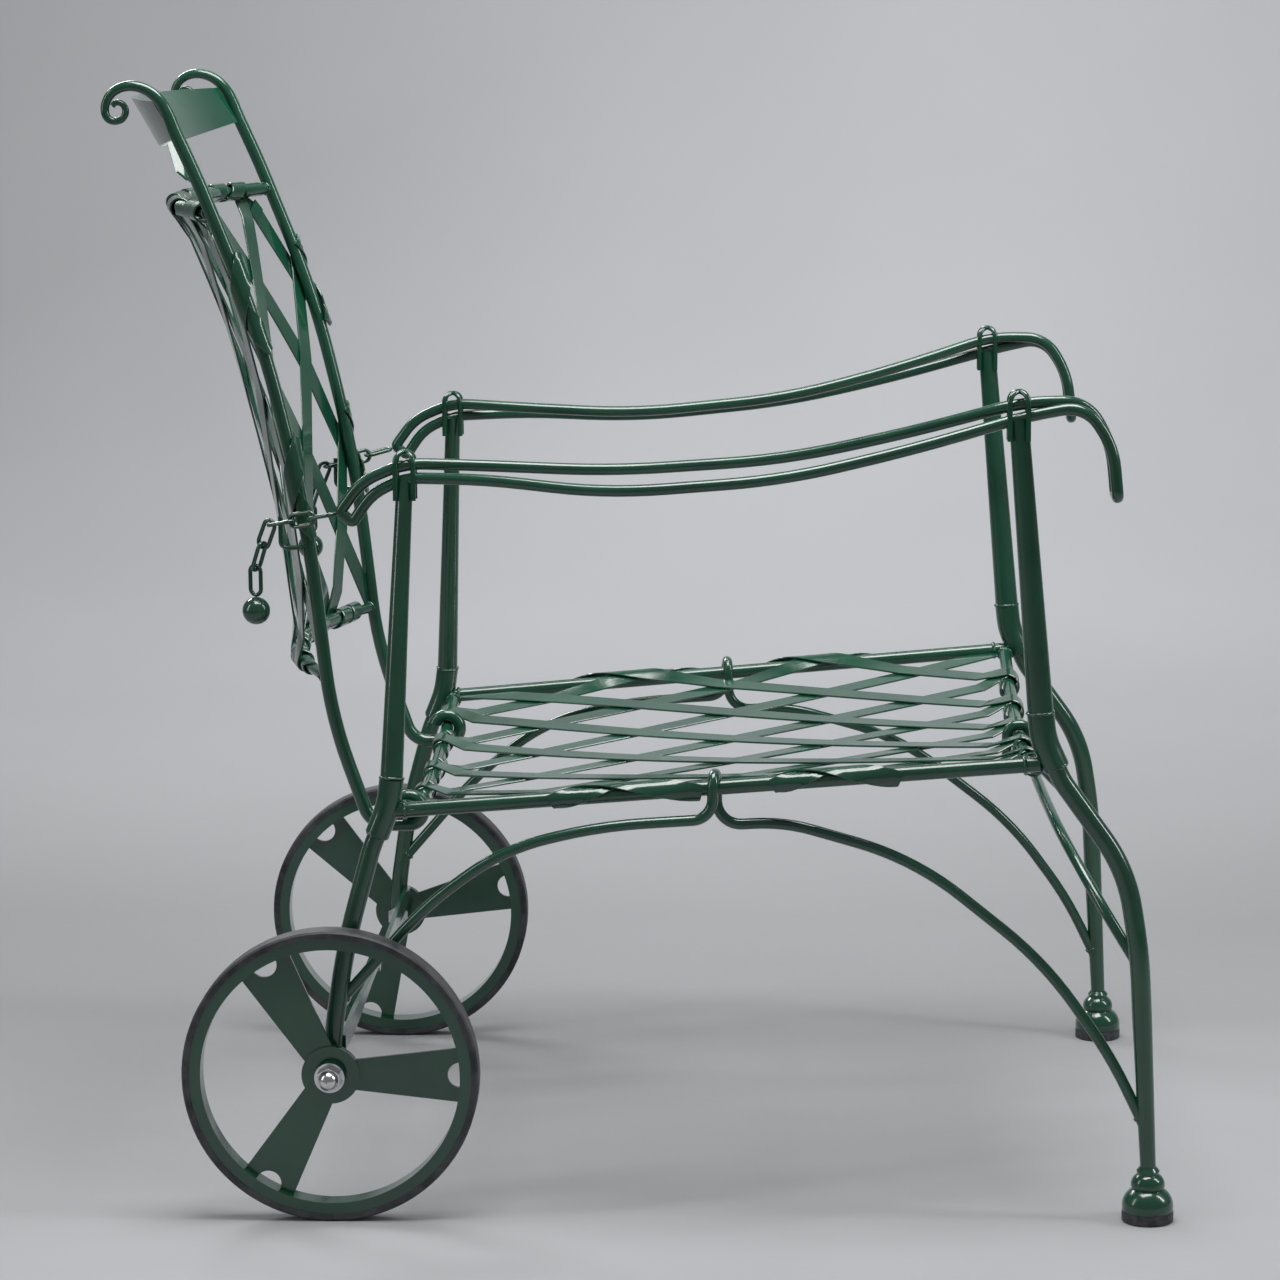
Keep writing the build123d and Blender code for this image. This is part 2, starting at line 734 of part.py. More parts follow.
# Back stiles: an eye round the rear rail, a long sweep up and a scroll at the top
eye_height = rail_height(rear_rail_x) - bow_depth(back_half_width, rail_half_width(rear_rail_x), seat_sag)
eye_radius = cross_rail_diameter / 2 + free_gap + stile_diameter / 2
sweep_points = [
    (rear_rail_x, eye_height - eye_radius),
    (-236.0, eye_height - eye_radius),
    (-268.5, 414.0),
    (-288.0, 596.0),
    (-324.0, 752.0),
    (-374.0, 880.0),
    (-391.0, 918.0),
]
scroll_points = [
    (-391.0, 918.0),
    (-404.0, 947.0),
    (-428.0, 961.0),
    (-448.0, 953.0),
    (-452.0, 938.0),
    (-440.0, 932.0),
]
stiles = {}
for name, side in SIDES.items():
    with BuildPart() as stile:
        stile_plane = Plane(origin=(0, side * back_half_width, 0), x_dir=(1, 0, 0), z_dir=(0, -1, 0))
        with BuildLine(stile_plane) as route:
            CenterArc((rear_rail_x, eye_height), eye_radius, 160, -250)
            FilletPolyline(*sweep_points, radius=bend_radii([(x, y, 0) for x, y in sweep_points]))
        with BuildSketch(Plane(origin=route.wire() @ 0, z_dir=route.wire() % 0)):
            Circle(stile_diameter / 2)
        sweep(path=route.wire())
        with BuildLine() as curl:
            bends = [(x, side * back_half_width, z) for x, z in scroll_points]
            Spline(*bends, tangents=[(-17.0, 0, 38.0), (12.0, 0, 3.0)])
        with BuildSketch(Plane(origin=curl.line @ 0, z_dir=curl.line % 0)):
            Circle(stile_diameter / 2)
        with BuildSketch(Plane(origin=curl.line @ 1, z_dir=curl.line % 1)):
            Circle(scroll_diameter / 2)
        sweep(path=curl.line, multisection=True)
    stiles[side] = stile.part
    save(stile.part, f"{name}_back_stile")

stile_route = [route.wire() @ (step / 400) for step in range(401)]
stile_run = [point for point in stile_route if point.Z > eye_height + 2 * eye_radius]


def stile_x(height):
    """Where the stile stands at a height."""
    for low, high in zip(stile_run, stile_run[1:]):
        if low.Z <= height <= high.Z:
            break
    return low.X + (high.X - low.X) * (height - low.Z) / (high.Z - low.Z)


def back_bow(height):
    """How far the middle of the back stands behind the stiles at a height."""
    share = (height - back_bottom_height) / (back_top_height - back_bottom_height)
    return back_bottom_bow + share * (back_top_bow - back_bottom_bow)


def back_point(row, column):
    """A point of the hollow back on its lattice of rows and columns."""
    z = back_bottom_height + (back_top_height - back_bottom_height) * column / back_columns
    y = (2 * row / back_rows - 1) * back_half_width
    return Vector(stile_x(z) - bow_depth(y, back_half_width, back_bow(z)), y, z)


def back_rail(height, diameter, fitted_to=()):
    """A bowed cross rail of the back."""
    ends = stile_x(height)
    start = (ends, -back_half_width, height)
    end = (ends, back_half_width, height)
    return arc_rod(start, (ends - back_bow(height), 0, height), end, diameter, fitted_to)


save(back_rail(back_top_height, back_rail_diameter, stiles.values()), "back_top_rail")
save(back_rail(back_bottom_height, back_rail_diameter, stiles.values()), "back_bottom_rail")

# Straps of the back
back_cutters = [
    back_rail(height, back_rail_diameter + wrap_growth) for height in (back_top_height, back_bottom_height)
]
for side in SIDES.values():
    upright = [(x, side * back_half_width, z) for x, z in sweep_points[1:]]
    back_cutters.append(bent_rod(upright, stile_diameter + wrap_growth))
save(strap_layer(back_point, back_rows, back_columns, False, -layer_offset, back_cutters), "back_straps_rear")
save(strap_layer(back_point, back_rows, back_columns, True, layer_offset, back_cutters), "back_straps_front")

wraps = []
for column in (0, back_columns):
    for row in range(2 - column % 2, back_rows, 2):
        direction = (back_point(row + 0.05, column) - back_point(row - 0.05, column)).normalized()
        wraps.append(wrap(back_point(row, column), direction, back_rail_diameter))
for column in range(2, back_columns, 2):
    for row in (0, back_rows):
        direction = (back_point(row, column + 0.05) - back_point(row, column - 0.05)).normalized()
        wraps.append(wrap(back_point(row, column), direction, stile_diameter))
save(Compound(children=wraps), "back_strap_wraps")

# Crest: a bowed sheet between the heads of the stiles, deeper in the middle
with BuildPart() as crest:
    crest_sections = 12
    sections = []
    for step in range(crest_sections + 1):
        y = back_half_width * (2 * step / crest_sections - 1)
        bow = bow_depth(y, back_half_width, crest_bow)
        low = crest_end_height + (crest_middle_height - crest_end_height) * (1 - (y / back_half_width) ** 2)
        high = crest_top_height
        foot = (stile_x(low) - bow, low)
        head = (stile_x(crest_middle_height) - crest_lean - bow, high)
        with BuildSketch(Plane(origin=(0, y, 0), x_dir=(1, 0, 0), z_dir=(0, -1, 0))) as section:
            with BuildLine():
                half = crest_thickness / 2
                Polyline(
                    (foot[0] - half, foot[1]), (foot[0] + half, foot[1]),
                    (head[0] + half, head[1]), (head[0] - half, head[1]),
                    close=True,
                )
            make_face()
        sections.append(section.sketch)
    loft(sections, ruled=True, clean=False)
    for neighbour in stiles.values():
        add(neighbour, mode=Mode.SUBTRACT)
save(crest.part, "crest_panel")

# Fluted shell that hangs from the middle of the crest
with BuildPart() as shell:
    shell_top = crest_middle_height + shell_lap
    root = Vector(stile_x(shell_top) - crest_bow, 0, shell_top)
    for petal in range(shell_petals):
        lean = radians(shell_spread * (petal / (shell_petals - 1) - 0.5) * 2)
        reach = shell_length * (1 - 0.25 * abs(lean))
        tip_height = shell_top - reach * cos(lean)
        tip = Vector(stile_x(tip_height) - crest_bow, reach * sin(lean), tip_height)
        with BuildSketch(Plane(origin=root, z_dir=tip - root)):
            Circle(0.4 * shell_petal_radius)
        with BuildSketch(Plane(origin=tip, z_dir=tip - root)):
            Circle(shell_petal_radius)
        loft()
        with Locations(tip):
            Sphere(shell_petal_radius)
    add(crest.part, mode=Mode.SUBTRACT)
    shell_low = shell_top - shell_length
    slope = (stile_x(shell_top) - stile_x(shell_low)) / shell_length
    split(bisect_by=Plane(origin=root, z_dir=(1, 0, -slope)), keep=Keep.TOP)
save(shell.part, "crest_shell")

# Hooks on the stiles that catch the chains
with BuildPart() as hooks:
    for side in SIDES.values():
        hook_points = on_side(side, [
            (stile_x(hook_height), back_half_width, hook_height),
            (hook_prong_x + 8.0, hook_prong_half_width - 5.0, hook_height),
            (hook_prong_x, hook_prong_half_width, hook_height + 2.0),
            (hook_prong_x, hook_prong_half_width, hook_height + hook_prong_height),
        ])
        with BuildLine() as route:
            FilletPolyline(*hook_points, radius=bend_radii(hook_points))
        with BuildSketch(Plane(origin=route.line @ 0, z_dir=route.line % 0)):
            Circle(hook_wire_diameter / 2)
        sweep(path=route.line)
    for neighbour in stiles.values():
        add(neighbour, mode=Mode.SUBTRACT)
save(hooks.part, "chain_hooks")


def chain_link(centre, along, upward):
    """A link lying along a direction, flat in the plane that the second direction gives."""
    flat = Plane(origin=centre, x_dir=along, z_dir=along.cross(upward))
    run = (link_length - link_width) / 2
    turn = (link_width - link_wire_diameter) / 2
    with BuildPart() as link:
        with BuildLine(flat) as oval:
            Line((-run, turn), (run, turn))
            ThreePointArc((run, turn), (run + turn, 0), (run, -turn))
            Line((run, -turn), (-run, -turn))
            ThreePointArc((-run, -turn), (-run - turn, 0), (-run, turn))
        with BuildSketch(Plane(origin=oval.wire() @ 0, z_dir=oval.wire() % 0)):
            Circle(link_wire_diameter / 2)
        sweep(path=oval.wire())
    return link.part


# Chains: tight links from the arm to the hook, caught links behind it and a swinging tail
half_link = (link_length - link_wire_diameter) / 2
hooked = link_wire_diameter + link_play
prong_seat = (link_width - hook_wire_diameter) / 2 - hooked
caught_height = hook_height + 0.8 * hook_prong_height
for name, side in SIDES.items():
    start = Vector(arm_rear_tip[0], side * arm_rear_tip[1], arm_rear_tip[2])
    prong = Vector(hook_prong_x, side * (hook_prong_half_width + prong_seat), caught_height)
    span = prong - start
    along = span.normalized()
    level = Vector(along.X, along.Y, 0).normalized()
    across = Vector(0, 0, 1).cross(level)
    first = chain_start + link_length / 2
    pitch = (span.length - first - prong_offset) / (tight_links - 1)
    tight = []
    for link in range(tight_links):
        flat_lying = (tight_links - 1 - link) % 2 == 0
        centre = start + along * (first + link * pitch)
        tight.append(chain_link(centre, along, across if flat_lying else along.cross(across)))
    save(Compound(children=tight), f"{name}_chain")

    caught = []
    pin = centre + along * half_link
    for slope, flat_lying in ((66.0, False), (70.0, True)):
        down = level * cos(radians(slope)) - Vector(0, 0, 1) * sin(radians(slope))
        centre = pin + down * (half_link - hooked)
        caught.append(chain_link(centre, down, across if flat_lying else down.cross(across)))
        pin = centre + down * half_link
    save(Compound(children=caught), f"{name}_chain_caught_links")

    down = Vector(0, 0, -1)
    centre = pin + down * (half_link - hooked)
    last_link = chain_link(centre, down, level)
    with BuildPart() as ball:
        with Locations(centre + down * (link_length / 2 + chain_ball_radius + strap_gap)):
            Sphere(chain_ball_radius)
    save(Compound(children=[last_link, ball.part]), f"{name}_chain_tail")
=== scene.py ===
"""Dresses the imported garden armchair: gloss paint, strap lattices, chains, weld beads and a studio stage."""

import json
import math

import bmesh
import bpy
from mathutils import Matrix, Vector


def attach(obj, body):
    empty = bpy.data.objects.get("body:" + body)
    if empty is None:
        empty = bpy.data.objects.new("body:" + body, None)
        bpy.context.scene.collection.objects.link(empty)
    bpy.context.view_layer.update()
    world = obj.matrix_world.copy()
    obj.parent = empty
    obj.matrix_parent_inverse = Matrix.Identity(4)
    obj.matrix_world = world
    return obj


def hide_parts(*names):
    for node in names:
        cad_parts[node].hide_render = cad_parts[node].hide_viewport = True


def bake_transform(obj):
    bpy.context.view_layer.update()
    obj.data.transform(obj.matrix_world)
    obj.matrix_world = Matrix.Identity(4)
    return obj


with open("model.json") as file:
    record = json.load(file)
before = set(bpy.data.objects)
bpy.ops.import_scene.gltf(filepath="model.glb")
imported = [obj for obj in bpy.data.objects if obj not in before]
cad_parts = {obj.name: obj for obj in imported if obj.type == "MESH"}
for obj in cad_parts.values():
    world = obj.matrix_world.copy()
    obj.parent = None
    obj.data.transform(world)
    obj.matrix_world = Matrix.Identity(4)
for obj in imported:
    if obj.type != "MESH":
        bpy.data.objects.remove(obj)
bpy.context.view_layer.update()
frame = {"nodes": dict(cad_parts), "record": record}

bl_info = {
    "name": "Garden Armchair Dresser",
    "version": (1, 0, 0),
    "blender": (4, 5, 0),
    "location": "View3D > Sidebar > Armchair",
    "description": "Paints and details a wrought garden armchair around its packed frame",
    "category": "Object",
}

SIDES = {"left": 1, "right": -1}
PHOTO_SIDE = 1280

# Plan of the chair in metres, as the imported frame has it
REAR_SOCKET_X = -0.209
FRONT_SOCKET_X = 0.340
REAR_HALF_WIDTH = 0.277
FRONT_HALF_WIDTH = 0.293
REAR_RAIL_X = -0.203
FRONT_RAIL_X = 0.338
REAR_SEAT_HEIGHT = 0.350
FRONT_SEAT_HEIGHT = 0.394
SEAT_SAG = 0.0335
BACK_HALF_WIDTH = 0.195
BACK_BOTTOM = 0.452
BACK_TOP = 0.853
BACK_BOTTOM_BOW = 0.043
BACK_TOP_BOW = 0.055
STILE_ROUTE = (
    (-0.203, 0.32104), (-0.236, 0.32104), (-0.2685, 0.414), (-0.288, 0.596),
    (-0.324, 0.752), (-0.374, 0.880), (-0.391, 0.918),
)
BEND_SHARE = 0.45

# Painted shade over the paper, darker behind the chair where its shadow falls and towards the left, from front
# to rear and from left to right: place along the reach and level
PAPER_DEPTHS = (-1.0, 3.8)
PAPER_PAINTED_SHADE_FRONT_TO_REAR = (
    (0.0, 0.77), (0.13, 0.74), (0.22, 0.66), (0.29, 0.54),
    (0.38, 0.53), (0.52, 0.66), (0.75, 0.90), (1.0, 0.98),
)
PAPER_BREADTHS = (-0.9, 0.9)
PAPER_PAINTED_SHADE_LEFT_TO_RIGHT = ((0.0, 0.88), (0.35, 0.96), (0.65, 1.0), (1.0, 0.96))

# Crest, the shell that hangs from it, and the inner turn of the scrolls
CREST_TOP = 0.948
CREST_END = 0.917
CREST_MIDDLE = 0.903
CREST_BOW = 0.0456
CREST_LEAN = 0.0249
CREST_THICKNESS = 0.0025
SHELL_TOP = 0.913
SHELL_LENGTH = 0.046
SHELL_LEAN = math.radians(32.0)
SHELL_DOME = 0.014
SHELL_FLUTES = 5
SCROLL_CENTRE = (-0.4425, 0.9415)
SCROLL_REACH = 0.00982
SCROLL_WIRE = 0.0064
SCROLL_START = math.radians(-75.3)
SCROLL_TURN = math.radians(215.0)

# Where a strap ends: at a corner, on a cross rail or on a side rail, and the radius of those rails
CORNER = "corner"
ACROSS = "across"
ALONG = "along"
SEAT_RAILS = {ACROSS: 0.0061, ALONG: 0.0066}
BACK_RAILS = {ACROSS: 0.00485, ALONG: 0.0061}

# Chains between the arms and the hooks, on the left side
ARM_REAR_TIP = (-0.252, 0.241, 0.601)
HOOK_PRONG = (-0.308, 0.21135, 0.5884)
HOOK_HEIGHT = 0.566
CHAIN_START = 0.005
PRONG_OFFSET = 0.0016

# Paper sweep: half its width, its floor from front to rear, its bend and its height
PAPER_HALF_WIDTH = 9.0
PAPER_FRONT = -9.0
PAPER_MIDDLE = -2.0
PAPER_REAR = 2.2
PAPER_BEND = 1.6
PAPER_HEIGHT = 7.0


class ArmchairFinishes(bpy.types.PropertyGroup):
    """Colours of the chair and its stage"""

    paint_deep: bpy.props.FloatVectorProperty(
        name="Deep paint", description="Green gloss paint where it lies thick", subtype="COLOR", size=3,
        default=(0.0040, 0.042, 0.0235), min=0.0, max=1.0,
    )
    paint_light: bpy.props.FloatVectorProperty(
        name="Light paint", description="Green gloss paint where it is thin", subtype="COLOR", size=3,
        default=(0.0080, 0.068, 0.0365), min=0.0, max=1.0,
    )
    rubber_dark: bpy.props.FloatVectorProperty(
        name="Dark rubber", description="Rubber in its hollows", subtype="COLOR", size=3,
        default=(0.016, 0.016, 0.018), min=0.0, max=1.0,
    )
    rubber_worn: bpy.props.FloatVectorProperty(
        name="Worn rubber", description="Rubber that is dusty and scuffed", subtype="COLOR", size=3,
        default=(0.070, 0.072, 0.075), min=0.0, max=1.0,
    )
    bright: bpy.props.FloatVectorProperty(
        name="Bright metal", description="Plated nuts and washers", subtype="COLOR", size=3,
        default=(0.66, 0.66, 0.67), min=0.0, max=1.0,
    )
    bright_dull: bpy.props.FloatVectorProperty(
        name="Dulled metal", description="Plating where it has dulled", subtype="COLOR", size=3,
        default=(0.46, 0.46, 0.45), min=0.0, max=1.0,
    )
    paper: bpy.props.FloatVectorProperty(
        name="Backdrop", description="Grey studio paper", subtype="COLOR", size=3,
        default=(0.50, 0.51, 0.525), min=0.0, max=1.0,
    )


class ArmchairStraps(bpy.types.PropertyGroup):
    """Sizes of the straps and their turns round the rails"""

    width: bpy.props.FloatProperty(
        name="Width", description="Width of a strap", unit="LENGTH", default=0.019, min=0.002,
    )
    thickness: bpy.props.FloatProperty(
        name="Thickness", description="Thickness of a strap", unit="LENGTH", default=0.0018, min=0.0005,
    )
    edge: bpy.props.FloatProperty(
        name="Edge", description="Width of the rolled edge of a strap", unit="LENGTH", default=0.0005,
    )
    layer: bpy.props.FloatProperty(
        name="Layer", description="Distance of each layer from the middle", unit="LENGTH", default=0.0011,
    )
    rise: bpy.props.FloatProperty(
        name="Rise", description="How far from a cross rail a strap starts to climb over it", unit="LENGTH",
        default=0.030,
    )
    side_rise: bpy.props.FloatProperty(
        name="Side rise", description="How far from a side rail a strap starts to climb over it",
        unit="LENGTH", default=0.085,
    )
    seat_columns: bpy.props.IntProperty(
        name="Seat columns", description="Steps from rear to front", default=6, min=2,
    )
    seat_rows: bpy.props.IntProperty(
        name="Seat rows", description="Steps from right to left", default=14, min=2,
    )
    back_columns: bpy.props.IntProperty(
        name="Back columns", description="Steps from bottom to top", default=5, min=2,
    )
    back_rows: bpy.props.IntProperty(
        name="Back rows", description="Steps from right to left", default=10, min=2,
    )
    spread: bpy.props.FloatProperty(
        name="Spread", description="How much the seat straps spread at the rear", default=0.2466,
    )
    cross_turn: bpy.props.FloatProperty(
        name="Cross rail turn", description="Turn of a strap round a cross rail", subtype="ANGLE",
        default=math.radians(330.0),
    )
    eye_turn: bpy.props.FloatProperty(
        name="Turn by the eye", description="Turn of a strap beside a stile's eye", subtype="ANGLE",
        default=math.radians(110.0),
    )
    side_turn: bpy.props.FloatProperty(
        name="Side rail turn", description="Turn of a strap round a side rail", subtype="ANGLE",
        default=math.radians(150.0),
    )
    stile_turn: bpy.props.FloatProperty(
        name="Stile turn", description="Turn of a strap round a stile", subtype="ANGLE",
        default=math.radians(165.0),
    )
    back_turn: bpy.props.FloatProperty(
        name="Back rail turn", description="Turns of a strap round a rail of the back", subtype="ANGLE",
        default=math.radians(680.0),
    )


class ArmchairChains(bpy.types.PropertyGroup):
    """Sizes of the chains that hold the back"""

    link_length: bpy.props.FloatProperty(
        name="Link length", description="Outside length of a link", unit="LENGTH", default=0.0292,
    )
    link_width: bpy.props.FloatProperty(
        name="Link width", description="Outside width of a link", unit="LENGTH", default=0.0145,
    )
    wire: bpy.props.FloatProperty(
        name="Wire", description="Diameter of the link wire", unit="LENGTH", default=0.0036,
    )
    links: bpy.props.IntProperty(name="Links", description="Links between arm and hook", default=3)


class ArmchairView(bpy.types.PropertyGroup):
    """The camera of the photograph"""

    place: bpy.props.FloatVectorProperty(
        name="Place", description="Where the camera stands", subtype="TRANSLATION", unit="LENGTH",
        size=3, default=(0.1428, -3.6882, 1.0610),
    )
    yaw: bpy.props.FloatProperty(
        name="Yaw", description="Turn to the left of straight ahead", subtype="ANGLE",
        default=math.radians(2.341),
    )
    pitch: bpy.props.FloatProperty(
        name="Pitch", description="Tilt below level", subtype="ANGLE", default=math.radians(9.375),
    )
    roll: bpy.props.FloatProperty(
        name="Roll", description="Lean of the picture", subtype="ANGLE", default=math.radians(-0.413),
    )
    focal: bpy.props.FloatProperty(
        name="Focal length", description="In pixels of the photograph", default=4100.0, min=1.0,
    )


def add_node(tree, kind, place, **values):
    """A shader node with some of its inputs or settings filled in."""
    node = tree.nodes.new(kind)
    node.location = place
    for name, value in values.items():
        if name in node.inputs:
            node.inputs[name].default_value = value
        else:
            setattr(node, name, value)
    return node


def new_finish(name):
    """An empty material with its shader, its output and object coordinates."""
    material = bpy.data.materials.new(name)
    material.use_nodes = True
    tree = material.node_tree
    shader = tree.nodes["Principled BSDF"]
    place = add_node(tree, "ShaderNodeTexCoord", (-1200, 0))
    return material, tree, shader, place.outputs["Object"]


def noise(tree, place, where, scale, detail, roughness=0.5):
    """A noise texture on the object's own coordinates."""
    texture = add_node(tree, "ShaderNodeTexNoise", where, Scale=scale, Detail=detail, Roughness=roughness)
    tree.links.new(place, texture.inputs["Vector"])
    return texture.outputs["Fac"]


def colour_between(tree, factor, where, first, second, low=0.35, high=0.65):
    """A colour that runs from one tone to another as a texture rises."""
    ramp = add_node(tree, "ShaderNodeValToRGB", where)
    ramp.color_ramp.elements[0].position = low
    ramp.color_ramp.elements[0].color = (*first, 1.0)
    ramp.color_ramp.elements[1].position = high
    ramp.color_ramp.elements[1].color = (*second, 1.0)
    tree.links.new(factor, ramp.inputs["Fac"])
    return ramp.outputs["Color"]


def range_of(tree, factor, where, low, high):
    """A texture spread over a range of values."""
    span = add_node(tree, "ShaderNodeMapRange", where)
    span.inputs["From Min"].default_value = 0.3
    span.inputs["From Max"].default_value = 0.7
    span.inputs["To Min"].default_value = low
    span.inputs["To Max"].default_value = high
    tree.links.new(factor, span.inputs["Value"])
    return span.outputs["Result"]


def bumped(tree, shader, height, where, strength, distance):
    """Small relief on a surface."""
    bump = add_node(tree, "ShaderNodeBump", where, Strength=strength, Distance=distance)
    tree.links.new(height, bump.inputs["Height"])
    tree.links.new(bump.outputs["Normal"], shader.inputs["Normal"])


def green_gloss(finishes):
    """Dark green gloss paint, brushed a little unevenly over wrought metal."""
    material, tree, shader, place = new_finish("green_gloss_paint")
    patches = noise(tree, place, (-900, 300), 14.0, 4.0)
    deep = colour_between(tree, patches, (-600, 300), finishes.paint_deep, finishes.paint_light, 0.30, 0.72)
    tree.links.new(deep, shader.inputs["Base Color"])
    sheen = noise(tree, place, (-900, 0), 55.0, 3.0)
    tree.links.new(range_of(tree, sheen, (-600, 0), 0.14, 0.26), shader.inputs["Roughness"])
    peel = noise(tree, place, (-900, -300), 420.0, 2.0)
    bumped(tree, shader, peel, (-300, -300), 0.10, 0.0006)
    shader.inputs["Coat Weight"].default_value = 0.6
    shader.inputs["Coat Roughness"].default_value = 0.10
    return material


def worn_rubber(name, dark, worn, grain):
    """Rubber with dust in its grain."""
    material, tree, shader, place = new_finish(name)
    scuffs = noise(tree, place, (-900, 300), grain, 5.0, 0.65)
    tree.links.new(colour_between(tree, scuffs, (-600, 300), dark, worn), shader.inputs["Base Color"])
    tree.links.new(range_of(tree, scuffs, (-600, 0), 0.42, 0.62), shader.inputs["Roughness"])
    pores = noise(tree, place, (-900, -300), 700.0, 3.0)
    bumped(tree, shader, pores, (-300, -300), 0.25, 0.0006)
    shader.inputs["Specular IOR Level"].default_value = 0.4
    return material


def bright_plate(finishes):
    """Bright plating with faint dull patches and turning marks."""
    material, tree, shader, place = new_finish("bright_plating")
    dull = noise(tree, place, (-900, 300), 160.0, 4.0)
    tone = colour_between(tree, dull, (-600, 300), finishes.bright, finishes.bright_dull, 0.45, 0.80)
    tree.links.new(tone, shader.inputs["Base Color"])
    tree.links.new(range_of(tree, dull, (-600, 0), 0.12, 0.30), shader.inputs["Roughness"])
    marks = noise(tree, place, (-900, -300), 900.0, 1.0)
    bumped(tree, shader, marks, (-300, -300), 0.06, 0.0004)
    shader.inputs["Metallic"].default_value = 1.0
    return material


def painted_fall_of_light(tree, value, where, reach, stops):
    """Painted shade: a grey that changes along one direction of the stage."""
    span = add_node(tree, "ShaderNodeMapRange", where)
    span.inputs["From Min"].default_value = reach[0]
    span.inputs["From Max"].default_value = reach[1]
    tree.links.new(value, span.inputs["Value"])
    ramp = add_node(tree, "ShaderNodeValToRGB", (where[0] + 200, where[1]))
    elements = ramp.color_ramp.elements
    for position, _ in stops[1:-1]:
        elements.new(position)
    for element, (position, level) in zip(elements, stops):
        element.position = position
        element.color = (level, level, level, 1.0)
    tree.links.new(span.outputs["Result"], ramp.inputs["Fac"])
    return ramp.outputs["Color"]


def multiplied(tree, first, second, where):
    """One colour times another."""
    product = add_node(tree, "ShaderNodeMix", where, data_type="RGBA", blend_type="MULTIPLY")
    product.inputs["Factor"].default_value = 1.0
    tree.links.new(first, product.inputs["A"])
    tree.links.new(second, product.inputs["B"])
    return product.outputs["Result"]


def studio_paper(finishes):
    """Grey paper with the faintest mottle, with painted shade behind the chair and to its left, clear from
    behind.
    """
    material, tree, shader, place = new_finish("studio_paper")
    mottle = noise(tree, place, (-900, 300), 1.6, 3.0)
    darker = [0.965 * tone for tone in finishes.paper]
    tone = colour_between(tree, mottle, (-600, 300), darker, finishes.paper)
    parts = add_node(tree, "ShaderNodeSeparateXYZ", (-1000, 600))
    tree.links.new(place, parts.inputs["Vector"])
    # Painted shade: the paper's colour is darkened behind the chair and to its left, standing in for the
    # chair's shadow and the fall of the lamps
    depth = painted_fall_of_light(tree, parts.outputs["Y"], (-800, 700), PAPER_DEPTHS, PAPER_PAINTED_SHADE_FRONT_TO_REAR)
    breadth = painted_fall_of_light(tree, parts.outputs["X"], (-800, 1000), PAPER_BREADTHS, PAPER_PAINTED_SHADE_LEFT_TO_RIGHT)
    shade = multiplied(tree, depth, breadth, (-350, 800))
    tree.links.new(multiplied(tree, tone, shade, (-150, 500)), shader.inputs["Base Color"])
    grain = noise(tree, place, (-900, 0), 90.0, 2.0)
    tree.links.new(range_of(tree, grain, (-600, 0), 0.86, 0.96), shader.inputs["Roughness"])
    shader.inputs["Specular IOR Level"].default_value = 0.15
    facing = add_node(tree, "ShaderNodeNewGeometry", (-600, -300))
    clear = add_node(tree, "ShaderNodeMath", (-400, -300), operation="SUBTRACT")
    clear.inputs[0].default_value = 1.0
    tree.links.new(facing.outputs["Backfacing"], clear.inputs[1])
    tree.links.new(clear.outputs["Value"], shader.inputs["Alpha"])
    return material


def finish_named(name, make, *given):
    """A finish made the first time that it is asked for."""
    if name in bpy.data.materials:
        return bpy.data.materials[name]
    return make(*given)


def paint():
    return finish_named("green_gloss_paint", green_gloss, bpy.context.scene.armchair_finishes)


def dress(node, material):
    """Gives a node of the frame its finish."""
    slots = frame["nodes"][node].data.materials
    slots.clear()
    slots.append(material)


def nodes_in_slot(*slots):
    """The nodes of the frame that take their finish from these slots of the record."""
    return [part["node"] for part in frame["record"]["subparts"] if part["material_slot"] in slots]


def piece_from(mesh, name, material):
    """A finished mesh turned into a piece of the chair."""
    data = bpy.data.meshes.new(name)
    mesh.to_mesh(data)
    mesh.free()
    data.materials.append(material)
    piece = bpy.data.objects.new(name, data)
    bpy.context.scene.collection.objects.link(piece)
    return piece


def bow_depth(y, half_width, depth):
    """Depth of a circular bow below its chord, at a distance from its middle."""
    radius = (half_width**2 + depth**2) / (2 * depth)
    return math.sqrt(radius**2 - y**2) - (radius - depth)


def between_sockets(x, rear, front):
    """A size of the seat that runs evenly from the rear sockets to the front ones."""
    return rear + (front - rear) * (x - REAR_SOCKET_X) / (FRONT_SOCKET_X - REAR_SOCKET_X)


def seat_point(row, column):
    """A point of the dished seat on its lattice."""
    straps = bpy.context.scene.armchair_straps
    x = REAR_RAIL_X + (FRONT_RAIL_X - REAR_RAIL_X) * column / straps.seat_columns
    half = between_sockets(x, REAR_HALF_WIDTH, FRONT_HALF_WIDTH)
    share = 2 * row / straps.seat_rows - 1
    spread = straps.spread * (1 - column / straps.seat_columns)
    y = half * share * (1 + spread * (1 - share**2))
    sunk = bow_depth(min(abs(y), half), half, SEAT_SAG)
    return Vector((x, y, between_sockets(x, REAR_SEAT_HEIGHT, FRONT_SEAT_HEIGHT) - sunk))


def stile_x(height):
    """Where a stile stands at a height, on its run of straights and bends."""
    for before, corner, after in zip(STILE_ROUTE, STILE_ROUTE[1:], STILE_ROUTE[2:]):
        into = Vector(corner) - Vector(before)
        out = Vector(after) - Vector(corner)
        reach = BEND_SHARE * min(into.length, out.length)
        start = Vector(corner) - into.normalized() * reach
        end = Vector(corner) + out.normalized() * reach
        if height < start.y:
            share = (height - before[1]) / (corner[1] - before[1])
            return before[0] + share * (corner[0] - before[0])
        if height <= end.y:
            share = (height - start.y) / (end.y - start.y)
            bend = (1 - share) ** 2 * start + 2 * share * (1 - share) * Vector(corner) + share**2 * end
            return bend.x
    share = (height - corner[1]) / (after[1] - corner[1])
    return corner[0] + share * (after[0] - corner[0])


